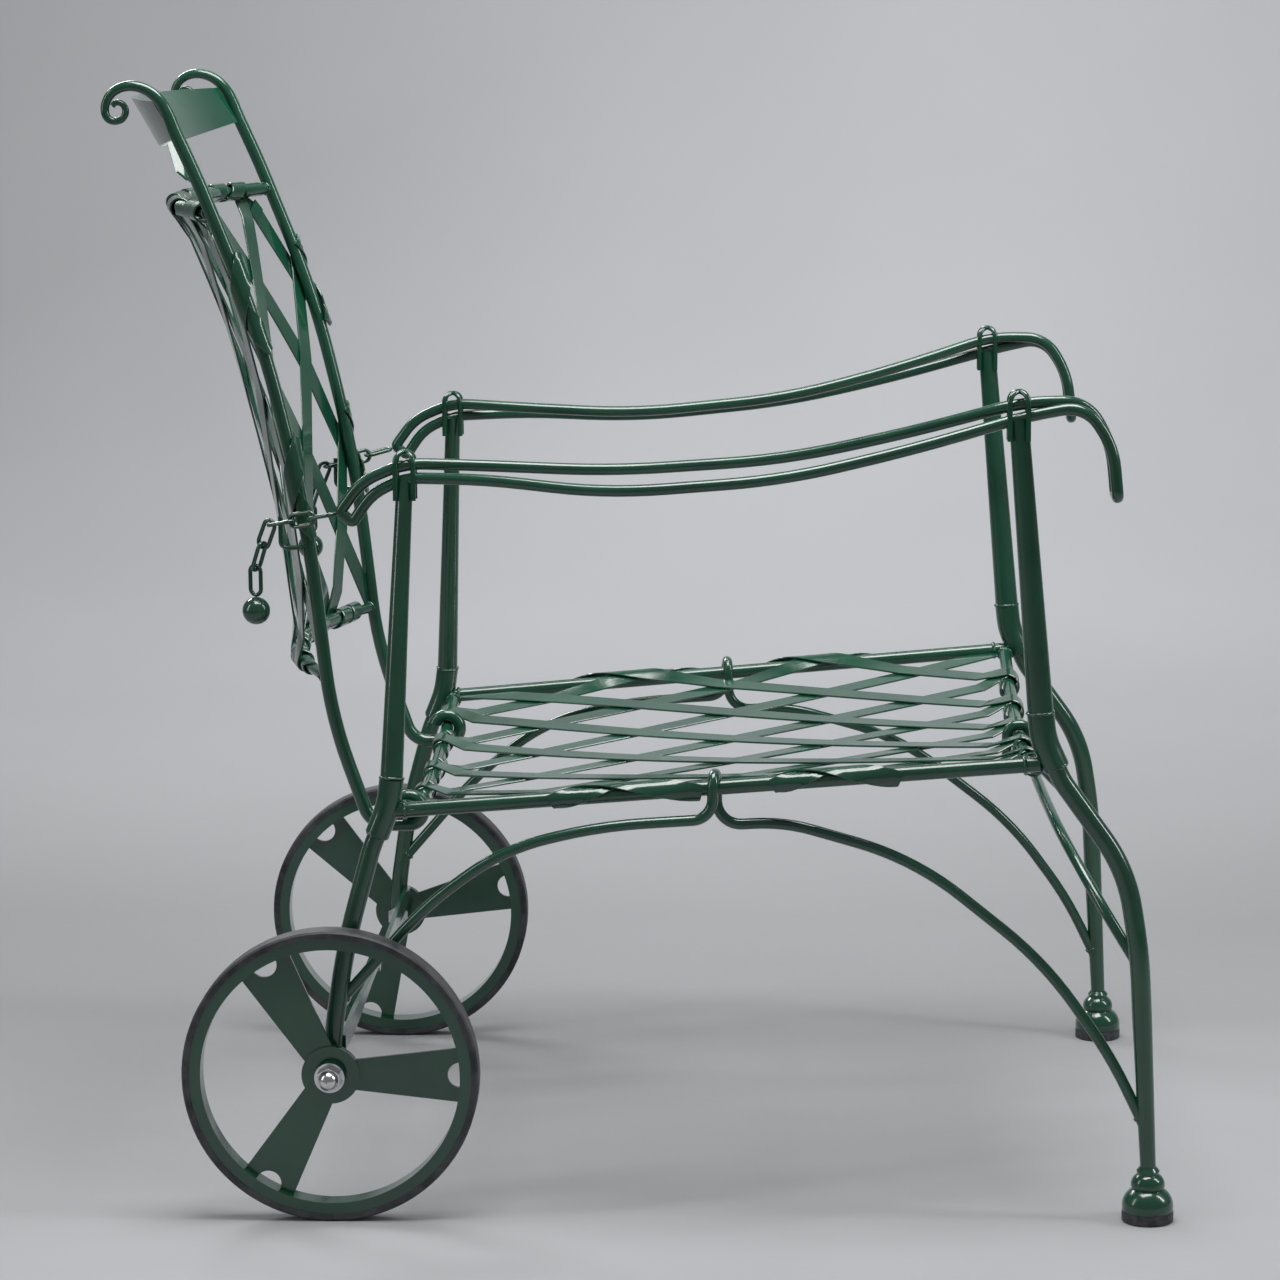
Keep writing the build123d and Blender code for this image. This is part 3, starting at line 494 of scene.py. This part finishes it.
def back_point(row, column):
    """A point of the hollow back on its lattice."""
    straps = bpy.context.scene.armchair_straps
    share = column / straps.back_columns
    z = BACK_BOTTOM + (BACK_TOP - BACK_BOTTOM) * share
    y = (2 * row / straps.back_rows - 1) * BACK_HALF_WIDTH
    bow = BACK_BOTTOM_BOW + share * (BACK_TOP_BOW - BACK_BOTTOM_BOW)
    return Vector((stile_x(z) - bow_depth(min(abs(y), BACK_HALF_WIDTH), BACK_HALF_WIDTH, bow), y, z))


def edge_of(row, column, rows, columns):
    """Which rail a strap's end lies on."""
    on_cross = column in (0, columns)
    on_side = row in (0, rows)
    if on_cross and on_side:
        return CORNER
    return ACROSS if on_cross else ALONG


def face_normal(point_at, row, column):
    """The way that the lattice's face looks at a point."""
    step = 0.01
    over_rows = point_at(row + step, column) - point_at(row - step, column)
    over_columns = point_at(row, column + step) - point_at(row, column - step)
    return over_columns.cross(over_rows).normalized()


def strap_section(straps):
    """The section of a strap with rolled edges: places across it and above its middle."""
    half = straps.width / 2
    thick = straps.thickness / 2
    inner = half - straps.edge
    low = thick - straps.edge
    top = [(-half, low)]
    top += [(across, thick) for across in (-inner, -half / 2, 0.0, half / 2, inner)]
    top += [(half, low)]
    return top + [(across, -above) for across, above in reversed(top)]


def rings_on_face(places, section):
    """Rings of a strap along places with normals on a lattice, and its way across at both ends."""
    rings = []
    ways = []
    for index, (place, normal) in enumerate(places):
        ahead = places[min(index + 1, len(places) - 1)][0] - places[max(index - 1, 0)][0]
        way = normal.cross(ahead).normalized()
        level = ahead.cross(way).normalized()
        rings.append([place + way * across + level * above for across, above in section])
        ways.append(way)
    return rings, ways[0], ways[-1]


def rings_round_rail(point_at, spot, edge, last, face, way, radius, turn, section):
    """Rings in which a strap climbs from its last place to a rail and winds round it, lying flat on it."""
    step = 0.02
    pace = 0.0025
    row, column = spot
    node = point_at(row, column)
    if edge == ACROSS:
        rail = (point_at(row + step, column) - point_at(row - step, column)).normalized()
    else:
        rail = (point_at(row, column + step) - point_at(row, column - step)).normalized()
    offset = last - node
    inward = (offset - rail * offset.dot(rail)).normalized()
    up = rail.cross(inward)
    if up.dot(face) < 0:
        up.negate()
    out = offset.dot(inward)
    height = offset.dot(up)
    drift = offset.dot(rail) / out
    distance = math.hypot(out, height)
    touch = math.atan2(height, out) + math.acos(min(1.0, radius / distance))
    straight = math.sqrt(max(distance**2 - radius**2, 0.0))
    landing = (inward * math.cos(touch) + up * math.sin(touch)) * radius
    base = inward * out + up * height
    climb = (landing - base).normalized()
    slant = 1 / math.sqrt(1 + drift**2)
    if (climb * drift + rail).dot(way) < 0:
        slant = -slant

    def on_profile(run):
        angle = touch + max(run - straight, 0.0) / radius
        normal = inward * math.cos(angle) + up * math.sin(angle)
        if run > straight:
            return node + normal * radius, normal
        return node + base + climb * run, normal

    length = straight + radius * turn
    count = math.ceil(length / pace)
    rings = []
    for index in range(1, count + 1):
        run = length * index / count
        ring = []
        laid = min(run / straight, 1.0)
        laid *= laid * (3 - 2 * laid)
        for across, above in section:
            place, normal = on_profile(run + across * slant * drift)
            place += rail * (offset.dot(rail) - drift * run + across * slant) + normal * above
            middle, _ = on_profile(run)
            level = middle + rail * (offset.dot(rail) - drift * run) + way * across + face * above
            ring.append(level.lerp(place, laid))
        rings.append(ring)
    return rings


def skin(mesh, rings):
    """A closed tube of faces over rings of points."""
    loops = [[mesh.verts.new(place) for place in ring] for ring in rings]
    for loop, following in zip(loops, loops[1:]):
        for corner, vertex in enumerate(loop):
            beside = (corner + 1) % len(loop)
            face = mesh.faces.new((vertex, loop[beside], following[beside], following[corner]))
            face.smooth = True
    mesh.faces.new(loops[0][::-1])
    mesh.faces.new(loops[-1])


def crease(mesh, angle):
    """Sharp edges where faces meet at more than an angle."""
    bmesh.ops.recalc_face_normals(mesh, faces=mesh.faces)
    for edge in mesh.edges:
        edge.smooth = len(edge.link_faces) == 2 and edge.calc_face_angle(0.0) < angle


def lay_straps(mesh, point_at, rows, columns, rails, turn_of):
    """Both layers of a lattice, each strap wound round the rails at its ends."""
    straps = bpy.context.scene.armchair_straps
    section = strap_section(straps)
    stop = 0.08
    for mirrored, layer in ((False, -straps.layer), (True, straps.layer)):
        for start in range(-2 * ((columns - 1) // 2), rows, 2):
            first = max(0, -start)
            last = min(columns, rows - start)

            def spot(position):
                row = position + start
                return (rows - row if mirrored else row), position

            def on_face(position):
                normal = face_normal(point_at, *spot(position))
                return point_at(*spot(position)) + normal * layer, normal

            inner = []
            for end, inwards in ((first, 1.0), (last, -1.0)):
                edge = edge_of(*spot(end), rows, columns)
                half_way = (point_at(*spot(end + 0.5 * inwards)) - point_at(*spot(end))).length
                rise = (straps.rise if edge == ACROSS else straps.side_rise) / (2 * half_way)
                inner.append(end + inwards * (stop if edge == CORNER else rise))
            count = max(4, round(8 * (inner[1] - inner[0])))
            places = [on_face(inner[0] + (inner[1] - inner[0]) * i / count) for i in range(count + 1)]
            rings, first_way, last_way = rings_on_face(places, section)
            for end, way, (place, normal) in ((first, first_way, places[0]), (last, last_way, places[-1])):
                edge = edge_of(*spot(end), rows, columns)
                if edge == CORNER:
                    continue
                radius = rails[edge] + straps.thickness / 2 + layer + straps.layer
                turn = turn_of(*spot(end), edge)
                wound = rings_round_rail(
                    point_at, spot(end), edge, place, normal, way, radius, turn, section)
                rings = wound[::-1] + rings if end == first else rings + wound
            skin(mesh, rings)
    crease(mesh, math.radians(35.0))


def oval_link(mesh, centre, along, flat, chains, sides=10, bends=10):
    """One chain link: a wire bent into an oval, lying along one direction and flat in another."""
    across = flat.cross(along).normalized()
    run = (chains.link_length - chains.link_width) / 2
    turn = (chains.link_width - chains.wire) / 2
    route = []
    for hand, turned in ((1, 0.0), (-1, math.pi)):
        for bend in range(bends + 1):
            angle = turned + math.pi * bend / bends - math.pi / 2
            reach = (math.cos(angle), math.sin(angle))
            route.append((centre + along * (hand * run + turn * reach[0]) + across * turn * reach[1], reach))
    rings = []
    for place, reach in route:
        outward = along * reach[0] + across * reach[1]
        ring = []
        for side in range(sides):
            angle = 2 * math.pi * side / sides
            ring.append(mesh.verts.new(
                place + (outward * math.cos(angle) + flat * math.sin(angle)) * chains.wire / 2))
        rings.append(ring)
    for ring, following in zip(rings, rings[1:] + rings[:1]):
        for side in range(sides):
            beside = (side + 1) % sides
            face = mesh.faces.new((ring[side], ring[beside], following[beside], following[side]))
            face.smooth = True


def weld_bead(mesh, centre, axis, radius, bead, turns=40, sides=8):
    """A lumpy ring of weld round a joint."""
    axis = Vector(axis).normalized()
    centre = Vector(centre)
    first = axis.orthogonal().normalized()
    second = axis.cross(first)
    rings = []
    for turn in range(turns):
        angle = 2 * math.pi * turn / turns
        outward = first * math.cos(angle) + second * math.sin(angle)
        lump = bead * (1.0 + 0.16 * math.sin(9 * angle) + 0.09 * math.sin(5 * angle + 1.3))
        ring = []
        for side in range(sides):
            lean = 2 * math.pi * side / sides
            place = centre + outward * (radius + lump * math.cos(lean)) + axis * lump * math.sin(lean)
            ring.append(mesh.verts.new(place))
        rings.append(ring)
    for ring, following in zip(rings, rings[1:] + rings[:1]):
        for side in range(sides):
            beside = (side + 1) % sides
            face = mesh.faces.new((ring[side], ring[beside], following[beside], following[side]))
            face.smooth = True


def plate(mesh, front, back):
    """A closed sheet between two grids of points."""
    grids = [[[mesh.verts.new(place) for place in line] for line in grid] for grid in (front, back)]
    lines = len(front)
    spots = len(front[0])
    for grid in grids:
        for line, following in zip(grid, grid[1:]):
            for spot in range(spots - 1):
                mesh.faces.new((line[spot], line[spot + 1], following[spot + 1], following[spot]))
    rim = [(0, spot) for spot in range(spots)]
    rim += [(line, spots - 1) for line in range(1, lines)]
    rim += [(lines - 1, spot) for spot in reversed(range(spots - 1))]
    rim += [(line, 0) for line in reversed(range(1, lines - 1))]
    for (line, spot), (next_line, next_spot) in zip(rim, rim[1:] + rim[:1]):
        mesh.faces.new((
            grids[0][line][spot], grids[0][next_line][next_spot],
            grids[1][next_line][next_spot], grids[1][line][spot]))
    for face in mesh.faces:
        face.smooth = True
    crease(mesh, math.radians(50.0))


def crest_face(offset, columns=48, rows=4):
    """Grid of the crest's bowed sheet, moved to the front or the rear."""
    grid = []
    reach = BACK_HALF_WIDTH - 0.004
    for column in range(columns + 1):
        y = reach * (2 * column / columns - 1)
        bow = bow_depth(y, BACK_HALF_WIDTH, CREST_BOW)
        low = CREST_END + (CREST_MIDDLE - CREST_END) * (1 - (y / BACK_HALF_WIDTH) ** 2)
        foot = Vector((stile_x(low) - bow + offset, y, low))
        head = Vector((stile_x(CREST_MIDDLE) - CREST_LEAN - bow + offset, y, CREST_TOP))
        grid.append([foot.lerp(head, row / rows) for row in range(rows + 1)])
    return grid


def shell_face(offset, lines=16, spots=60):
    """Grid of the fluted shell that hangs from the crest, domed to the front."""
    grid = []
    for line in range(lines + 1):
        down = 0.05 + 0.95 * line / lines
        points = []
        for spot in range(spots + 1):
            aside = 2 * spot / spots - 1
            ridge = math.cos(SHELL_FLUTES * math.pi * aside)
            reach = SHELL_LENGTH * down * (1.0 - 0.10 * aside**2 + 0.05 * down * ridge)
            lean = SHELL_LEAN * aside
            z = SHELL_TOP - reach * math.cos(lean)
            dome = SHELL_DOME * math.sin(0.8 * math.pi * down) * (1 - aside**2)
            x = stile_x(z) - CREST_BOW + dome + 0.0014 * down * ridge + offset
            points.append(Vector((x, reach * math.sin(lean), z)))
        grid.append(points)
    return grid


def curled_tip(mesh, y, sides=12, steps=18):
    """The last turn of a stile's scroll, which thins as it curls in on itself."""
    sideways = Vector((0.0, 1.0, 0.0))
    angles = [2 * math.pi * side / sides for side in range(sides)]
    rings = []
    for step in range(steps + 1):
        share = step / steps
        turned = SCROLL_START + SCROLL_TURN * share
        outward = Vector((math.cos(turned), 0.0, math.sin(turned)))
        reach = SCROLL_REACH * (1.0 - 0.58 * share)
        place = Vector((SCROLL_CENTRE[0], y, SCROLL_CENTRE[1])) + outward * reach
        radius = SCROLL_WIRE / 2 * (1.0 - 0.2 * share)
        rings.append([place + (outward * math.cos(a) + sideways * math.sin(a)) * radius for a in angles])
    skin(mesh, rings)


class ARMCHAIR_OT_paint(bpy.types.Operator):
    """Paint the wrought metal of the frame, the back and the wheels"""

    bl_idname = "armchair.paint"
    bl_label = "Paint the metal"

    def execute(self, context):
        for node in nodes_in_slot("green_paint"):
            dress(node, paint())
        return {"FINISHED"}


class ARMCHAIR_OT_rubber(bpy.types.Operator):
    """Finish the tyres and the foot pads in worn rubber"""

    bl_idname = "armchair.rubber"
    bl_label = "Finish the rubber"

    def execute(self, context):
        finishes = context.scene.armchair_finishes
        tyre = worn_rubber("tyre_rubber", finishes.rubber_dark, finishes.rubber_worn, 42.0)
        pad = worn_rubber("pad_rubber", finishes.rubber_dark, finishes.rubber_worn, 130.0)
        for node in nodes_in_slot("tyre_rubber"):
            dress(node, tyre)
        for node in nodes_in_slot("foot_rubber"):
            dress(node, pad)
        return {"FINISHED"}


class ARMCHAIR_OT_hardware(bpy.types.Operator):
    """Plate the axle nuts, washers and bolts"""

    bl_idname = "armchair.hardware"
    bl_label = "Plate the axle hardware"

    def execute(self, context):
        plate = bright_plate(context.scene.armchair_finishes)
        for node in nodes_in_slot("bright_hardware"):
            dress(node, plate)
        return {"FINISHED"}


class ARMCHAIR_OT_seat_straps(bpy.types.Operator):
    """Lay the straps of the seat and wind their ends round its rails"""

    bl_idname = "armchair.seat_straps"
    bl_label = "Lay the seat straps"

    def execute(self, context):
        straps = context.scene.armchair_straps
        def turn_of(row, column, edge):
            if edge == ALONG:
                return straps.side_turn
            beside_eye = column == 0 and row in (2, straps.seat_rows - 2)
            return straps.eye_turn if beside_eye else straps.cross_turn

        mesh = bmesh.new()
        lay_straps(mesh, seat_point, straps.seat_rows, straps.seat_columns, SEAT_RAILS, turn_of)
        piece = piece_from(mesh, "seat_straps", paint())
        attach(piece, "frame")
        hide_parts("seat_straps_lower", "seat_straps_upper", "seat_strap_wraps")
        return {"FINISHED"}


class ARMCHAIR_OT_back_straps(bpy.types.Operator):
    """Lay the straps of the back and coil their ends round its rails and stiles"""

    bl_idname = "armchair.back_straps"
    bl_label = "Lay the back straps"

    def execute(self, context):
        straps = context.scene.armchair_straps
        def turn_of(row, column, edge):
            return straps.stile_turn if edge == ALONG else straps.back_turn

        mesh = bmesh.new()
        lay_straps(mesh, back_point, straps.back_rows, straps.back_columns, BACK_RAILS, turn_of)
        piece = piece_from(mesh, "back_straps", paint())
        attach(piece, "back")
        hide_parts("back_straps_rear", "back_straps_front", "back_strap_wraps")
        return {"FINISHED"}


class ARMCHAIR_OT_chains(bpy.types.Operator):
    """Hang the tight links between the arms and the hooks"""

    bl_idname = "armchair.chains"
    bl_label = "Hang the tight chains"

    def execute(self, context):
        chains = context.scene.armchair_chains
        for name, side in SIDES.items():
            start = Vector((ARM_REAR_TIP[0], side * ARM_REAR_TIP[1], ARM_REAR_TIP[2]))
            prong = Vector((HOOK_PRONG[0], side * HOOK_PRONG[1], HOOK_PRONG[2]))
            span = prong - start
            along = span.normalized()
            level = Vector((along.x, along.y, 0.0)).normalized()
            across = Vector((0.0, 0.0, 1.0)).cross(level)
            first = CHAIN_START + chains.link_length / 2
            pitch = (span.length - first - PRONG_OFFSET) / (chains.links - 1)
            mesh = bmesh.new()
            for link in range(chains.links):
                lies_flat = (chains.links - 1 - link) % 2 == 0
                beside = across if lies_flat else along.cross(across)
                centre = start + along * (first + link * pitch)
                oval_link(mesh, centre, along, along.cross(beside).normalized(), chains)
            crease(mesh, math.radians(60.0))
            piece = piece_from(mesh, f"{name}_tight_chain", paint())
            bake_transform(piece)
            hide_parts(f"{name}_chain")
        return {"FINISHED"}


class ARMCHAIR_OT_crest(bpy.types.Operator):
    """Form the bowed crest and the fluted shell that hangs from it"""

    bl_idname = "armchair.crest"
    bl_label = "Form the crest"

    def execute(self, context):
        half = CREST_THICKNESS / 2
        mesh = bmesh.new()
        plate(mesh, crest_face(half), crest_face(-half))
        panel = piece_from(mesh, "crest_sheet", paint())
        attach(panel, "back")
        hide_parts("crest_panel")

        mesh = bmesh.new()
        plate(mesh, shell_face(2.2 * half), shell_face(half))
        shell = piece_from(mesh, "fluted_shell", paint())
        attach(shell, "back")
        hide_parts("crest_shell")
        return {"FINISHED"}


class ARMCHAIR_OT_scrolls(bpy.types.Operator):
    """Curl in the tips of the scrolls at the top of the stiles"""

    bl_idname = "armchair.scrolls"
    bl_label = "Curl the scrolls in"

    def execute(self, context):
        mesh = bmesh.new()
        for side in SIDES.values():
            curled_tip(mesh, side * BACK_HALF_WIDTH)
        crease(mesh, math.radians(60.0))
        piece = piece_from(mesh, "scroll_tips", paint())
        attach(piece, "back")
        return {"FINISHED"}


class ARMCHAIR_OT_welds(bpy.types.Operator):
    """Run beads of weld round the joints of the frame and the back"""

    bl_idname = "armchair.welds"
    bl_label = "Run the weld beads"

    def execute(self, context):
        mesh = bmesh.new()
        for side in SIDES.values():
            front = side * FRONT_HALF_WIDTH
            rear = side * REAR_HALF_WIDTH
            for centre, axis, radius, bead in (
                # Front socket to its post and its leg
                ((0.3398, front, 0.4383), (-0.08, 0.03 * side, 1.0), 0.0110, 0.0013),
                ((0.3532, front, 0.3915), (0.40, 0.0, -1.0), 0.0092, 0.0020),
                # Rear socket to its post and its leg
                ((-0.2088, rear, 0.3783), (0.05, -0.14 * side, 1.0), 0.0098, 0.0013),
                ((-0.2222, rear, 0.3296), (-0.40, 0.0, -1.0), 0.0087, 0.0018),
                # Side rail to both sockets
                ((0.3275, front, 0.3930), (1.0, 0.03 * side, 0.08), 0.0068, 0.0016),
                ((-0.1980, rear, 0.3509), (1.0, 0.03 * side, 0.08), 0.0068, 0.0015),
                # Front and rear rails to their sockets
                ((0.3380, front - side * 0.0125, 0.3905), (0.0, 1.0, 0.22 * side), 0.0062, 0.0015),
                ((-0.2030, rear - side * 0.0110, 0.3475), (0.0, 1.0, 0.22 * side), 0.0062, 0.0015),
                # Feet of the arches on the legs
                ((0.4268, side * 0.3020, 0.0900), (0.43, 0.05 * side, -0.90), 0.0046, 0.0015),
                ((0.4233, side * 0.2965, 0.2310), (0.08, 0.53 * side, -0.84), 0.0046, 0.0015),
                ((-0.2520, side * 0.2840, 0.1890), (-0.62, -0.08 * side, -0.78), 0.0047, 0.0015),
            ):
                weld_bead(mesh, centre, axis, radius, bead)
        piece = piece_from(mesh, "frame_weld_beads", paint())
        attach(piece, "frame")

        mesh = bmesh.new()
        for side in SIDES.values():
            for height, bow in ((BACK_TOP, BACK_TOP_BOW), (BACK_BOTTOM, BACK_BOTTOM_BOW)):
                y = BACK_HALF_WIDTH - 0.0065
                x = stile_x(height) - bow_depth(y, BACK_HALF_WIDTH, bow)
                weld_bead(mesh, (x, side * y, height), (0.5 * side, 0.87, 0.0), 0.0048, 0.0014)
            hook = (stile_x(HOOK_HEIGHT) - 0.0052, side * 0.1985, HOOK_HEIGHT)
            weld_bead(mesh, hook, (-0.73, 0.55 * side, 0.0), 0.0022, 0.0011)
        piece = piece_from(mesh, "back_weld_beads", paint())
        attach(piece, "back")
        return {"FINISHED"}


class ARMCHAIR_OT_stage(bpy.types.Operator):
    """Set the paper backdrop, the soft lights and the photograph's camera"""

    bl_idname = "armchair.stage"
    bl_label = "Set the stage"

    def execute(self, context):
        roll_paper(context.scene.armchair_finishes)
        light_studio()
        aim_camera(context.scene.armchair_view)
        return {"FINISHED"}


def roll_paper(finishes):
    """Floor and backdrop: one roll of paper that sweeps up behind the chair."""
    profile = [(PAPER_FRONT, 0.0), (PAPER_MIDDLE, 0.0), (PAPER_REAR, 0.0)]
    bends = 24
    for bend in range(1, bends + 1):
        angle = math.pi / 2 * bend / bends
        profile.append((PAPER_REAR + PAPER_BEND * math.sin(angle), PAPER_BEND * (1 - math.cos(angle))))
    profile.append((PAPER_REAR + PAPER_BEND, PAPER_HEIGHT))
    mesh = bmesh.new()
    rows = [[mesh.verts.new((x, y, z)) for x in (-PAPER_HALF_WIDTH, PAPER_HALF_WIDTH)] for y, z in profile]
    for row, following in zip(rows, rows[1:]):
        face = mesh.faces.new((row[0], row[1], following[1], following[0]))
        face.smooth = True
    data = bpy.data.meshes.new("paper_sweep")
    mesh.to_mesh(data)
    mesh.free()
    data.materials.append(studio_paper(finishes))
    paper = bpy.data.objects.new("paper_sweep", data)
    bpy.context.scene.collection.objects.link(paper)


def softbox(name, place, target, size, power, colour=(1.0, 1.0, 1.0)):
    """A large soft lamp aimed at a point."""
    lamp = bpy.data.lights.new(name, "AREA")
    lamp.shape = "RECTANGLE"
    lamp.size, lamp.size_y = size
    lamp.energy = power
    lamp.color = colour
    holder = bpy.data.objects.new(name, lamp)
    bpy.context.scene.collection.objects.link(holder)
    aim = Vector(target) - Vector(place)
    holder.matrix_world = Matrix.Translation(place) @ aim.to_track_quat("-Z", "Y").to_matrix().to_4x4()


def light_studio():
    """Soft overhead light, strips at both sides and behind, and an even room."""
    softbox("top_softbox", (0.1, -0.3, 2.6), (0.0, 0.0, 0.3), (1.6, 1.2), 66.0)
    softbox("left_strip", (-2.4, -1.0, 1.5), (0.0, 0.0, 0.45), (0.25, 1.8), 11.0)
    softbox("right_strip", (2.5, -0.5, 1.9), (0.0, 0.0, 0.5), (0.35, 1.8), 26.0)
    softbox("rear_strip", (-1.4, 1.9, 2.1), (-0.1, 0.0, 0.5), (1.4, 0.5), 34.0)
    softbox("backdrop_wash", (0.6, 1.4, 3.2), (0.8, 3.8, 1.4), (3.0, 0.8), 66.0)
    world = bpy.data.worlds.new("studio_room")
    world.use_nodes = True
    world.node_tree.nodes["Background"].inputs["Color"].default_value = (0.60, 0.61, 0.63, 1.0)
    world.node_tree.nodes["Background"].inputs["Strength"].default_value = 0.33
    bpy.context.scene.world = world
    bpy.context.scene.view_settings.view_transform = "Standard"


def aim_camera(view):
    """Puts the camera where the photograph was taken."""
    lens = bpy.data.cameras.new("photo_camera")
    lens.sensor_fit = "HORIZONTAL"
    lens.sensor_width = 36.0
    lens.lens = view.focal / PHOTO_SIDE * lens.sensor_width
    lens.clip_end = 50.0
    eye = bpy.data.objects.new("photo_camera", lens)
    bpy.context.scene.collection.objects.link(eye)
    ahead = Vector((
        -math.sin(view.yaw) * math.cos(view.pitch),
        math.cos(view.yaw) * math.cos(view.pitch),
        -math.sin(view.pitch),
    ))
    right = Vector((math.cos(view.yaw), math.sin(view.yaw), 0.0))
    upward = right.cross(ahead)
    tilted_right = right * math.cos(view.roll) + upward * math.sin(view.roll)
    tilted_up = -right * math.sin(view.roll) + upward * math.cos(view.roll)
    basis = Matrix([[tilted_right[i], tilted_up[i], -ahead[i]] for i in range(3)])
    eye.matrix_world = Matrix.Translation(view.place) @ basis.to_4x4()
    bpy.context.scene.camera = eye


OPERATORS = (
    ARMCHAIR_OT_paint,
    ARMCHAIR_OT_rubber,
    ARMCHAIR_OT_hardware,
    ARMCHAIR_OT_seat_straps,
    ARMCHAIR_OT_back_straps,
    ARMCHAIR_OT_chains,
    ARMCHAIR_OT_crest,
    ARMCHAIR_OT_scrolls,
    ARMCHAIR_OT_welds,
    ARMCHAIR_OT_stage,
)


class ARMCHAIR_PT_dresser(bpy.types.Panel):
    """The steps that dress the armchair, in order"""

    bl_label = "Garden Armchair"
    bl_idname = "ARMCHAIR_PT_dresser"
    bl_space_type = "VIEW_3D"
    bl_region_type = "UI"
    bl_category = "Armchair"

    def draw(self, context):
        for group in ("finishes", "straps", "chains", "view"):
            sizes = getattr(context.scene, f"armchair_{group}")
            box = self.layout.box()
            for name in sizes.bl_rna.properties.keys():
                if name not in ("rna_type", "name"):
                    box.prop(sizes, name)
        for operator in OPERATORS:
            self.layout.operator(operator.bl_idname)


GROUPS = {
    "armchair_finishes": ArmchairFinishes,
    "armchair_straps": ArmchairStraps,
    "armchair_chains": ArmchairChains,
    "armchair_view": ArmchairView,
}


def register():
    for group in GROUPS.values():
        bpy.utils.register_class(group)
    for name, group in GROUPS.items():
        setattr(bpy.types.Scene, name, bpy.props.PointerProperty(type=group))
    for operator in OPERATORS:
        bpy.utils.register_class(operator)
    bpy.utils.register_class(ARMCHAIR_PT_dresser)


def unregister():
    bpy.utils.unregister_class(ARMCHAIR_PT_dresser)
    for operator in reversed(OPERATORS):
        bpy.utils.unregister_class(operator)
    for name, group in reversed(GROUPS.items()):
        delattr(bpy.types.Scene, name)
        bpy.utils.unregister_class(group)


def main():
    """Dresses the chair in order."""
    register()
    bpy.ops.armchair.paint()
    bpy.ops.armchair.rubber()
    bpy.ops.armchair.hardware()
    bpy.ops.armchair.seat_straps()
    bpy.ops.armchair.back_straps()
    bpy.ops.armchair.chains()
    bpy.ops.armchair.crest()
    bpy.ops.armchair.scrolls()
    bpy.ops.armchair.welds()
    bpy.ops.armchair.stage()


if __name__ == "__main__":
    main()
